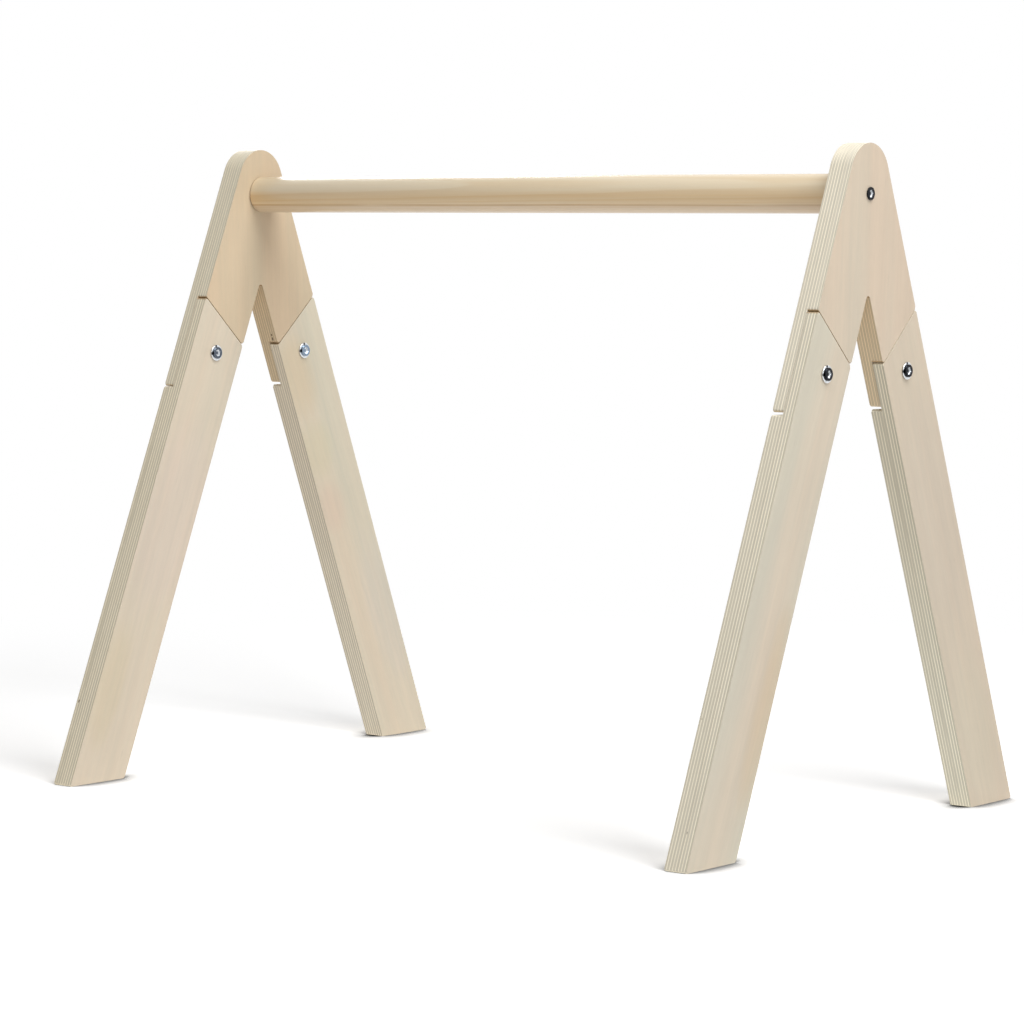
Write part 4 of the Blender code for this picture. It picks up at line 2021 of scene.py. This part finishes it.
@dataclass
class Studio:
    """White floor and backdrop, soft light, and the camera."""

    target: Vector = field(default_factory=lambda: Vector((-0.0198, 0.0, 0.2109)))
    distance: float = 2.6641
    turn: float = math.radians(37.83)
    fall: float = math.radians(4.34)
    roll: float = math.radians(-0.52)
    lens: float = 123.9
    sensor: float = 36.0
    view_depth: float = 100.0
    floor_size: float = 30.0
    floor_seen: float = 0.95
    floor_glow: float = 0.6
    floor_near: float = 0.86
    floor_far: float = 0.58
    floor_bounce: float = 0.52
    contact: float = 0.03
    contact_range: Range = (0.38, 0.95)
    contact_samples: int = 16
    floor_patch: Range = (0.5, 1.3)
    white_from: Range = (0.75, 1.3)
    sky: float = 0.18
    lamps: tuple[Lamp, ...] = (
        Lamp("key_lamp", (1.4, -0.3, 2.3), 1.8, 1.8, 58.0, Reach.GYM),
        Lamp("side_lamp", (2.7, -0.75, 0.75), 0.9, 1.4, 12.0, Reach.GYM),
        Lamp("fill_lamp", (-2.4, 1.7, 1.5), 1.6, 1.6, 52.0, Reach.GYM),
        Lamp("floor_lamp", (11.0, -4.0, 2.2), 10.0, 3.2, 3100.0, Reach.FLOOR),
    )

    def build_camera(self) -> None:
        """Place the camera where the photograph was taken from."""
        flat = Vector((-math.sin(self.turn), math.cos(self.turn), 0.0))
        forward = flat * math.cos(self.fall) - Vector((0.0, 0.0, math.sin(self.fall)))
        right = Vector((math.cos(self.turn), math.sin(self.turn), 0.0))
        up = right.cross(forward)
        level = Matrix((right, up, -forward)).transposed()
        camera = bpy.data.cameras.new("camera")
        camera.lens = self.lens
        camera.sensor_width = self.sensor
        camera.clip_end = self.view_depth
        obj = bpy.data.objects.new("camera", camera)
        place = Matrix.Translation(self.target - forward * self.distance)
        obj.matrix_world = place @ (level @ Matrix.Rotation(-self.roll, 3, "Z")).to_4x4()
        bpy.context.scene.collection.objects.link(obj)
        bpy.context.scene.camera = obj

    def build_floor(self) -> bpy.types.Object:
        """Lay the floor: white to the camera, where it keeps the gym's soft shadow.

        Returns:
            The floor.
        """
        graph = ShaderGraph("studio_floor")
        seen = plain_sight(graph)
        x, y, _ = graph.parts(graph.place())
        radius = squares(x, y).raised(0.5)
        patch = graph.rise(radius, *self.floor_patch)
        bounce = graph.between(patch, self.floor_near, self.floor_far)
        inputs = {"Distance": self.contact}
        samples = self.contact_samples
        sky = graph.result("ShaderNodeAmbientOcclusion", inputs, "AO", samples=samples)
        clear = graph.rise(sky, *self.contact_range)
        level = graph.between(seen, bounce, clear * self.floor_seen)
        lift = graph.between(seen, bounce * self.floor_bounce, clear * self.floor_glow)
        matt = graph.result("ShaderNodeBsdfDiffuse", {"Color": graph.vector(level, level, level)})
        lit = graph.result("ShaderNodeEmission", {"Color": WHITE, "Strength": lift})
        near = graph.result("ShaderNodeAddShader", {"Shader": matt, "Shader_001": lit})
        white = graph.result("ShaderNodeEmission", {"Color": WHITE, "Strength": 1.0})
        far = graph.rise(radius, *self.white_from) * seen
        inputs = {"Fac": far, "Shader": near, "Shader_001": white}
        mixed = graph.result("ShaderNodeMixShader", inputs)
        graph.add("ShaderNodeOutputMaterial", {"Surface": mixed})
        half = self.floor_size / 2
        corners = [(-half, -half, 0.0), (half, -half, 0.0), (half, half, 0.0), (-half, half, 0.0)]
        mesh = bpy.data.meshes.new("studio_floor")
        mesh.from_pydata(corners, [], [(0, 1, 2, 3)])
        mesh.materials.append(graph.material)
        floor = show("studio_floor", mesh)
        return floor

    def build_world(self) -> None:
        """Make the world white to the camera and to metal, and a plain soft light to the rest."""
        world = bpy.data.worlds.new("studio_world")
        world.use_nodes = True
        world.node_tree.nodes.clear()
        graph = Graph(world.node_tree)
        strength = graph.between(plain_sight(graph), self.sky, 1.0)
        plain = graph.result("ShaderNodeBackground", {"Color": WHITE, "Strength": strength})
        graph.add("ShaderNodeOutputWorld", {"Surface": plain})
        bpy.context.scene.world = world

    def build(self) -> None:
        """Build the studio."""
        self.build_camera()
        self.build_world()
        floor = self.build_floor()
        for lamp in self.lamps:
            lamp.build(self.target, floor)
        bpy.context.scene.view_settings.view_transform = "Standard"


def remove_default_objects() -> None:
    """Remove every object that the scene starts with."""
    for obj in list(bpy.data.objects):
        bpy.data.objects.remove(obj, do_unlink=True)


def main() -> None:
    """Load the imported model, build each sub-assembly round it, and then the studio."""
    logging.basicConfig(level=logging.INFO, format="%(name)s: %(message)s")
    remove_default_objects()
    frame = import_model()
    for side in Side:
        AFrame(side).build()
    Crossbar().build()
    Studio().build()
    bare = [name for name, node in frame["nodes"].items() if not node.hide_render]
    LOG.info("CAD nodes that still show: %s", bare or "none")


if __name__ == "__main__":
    main()
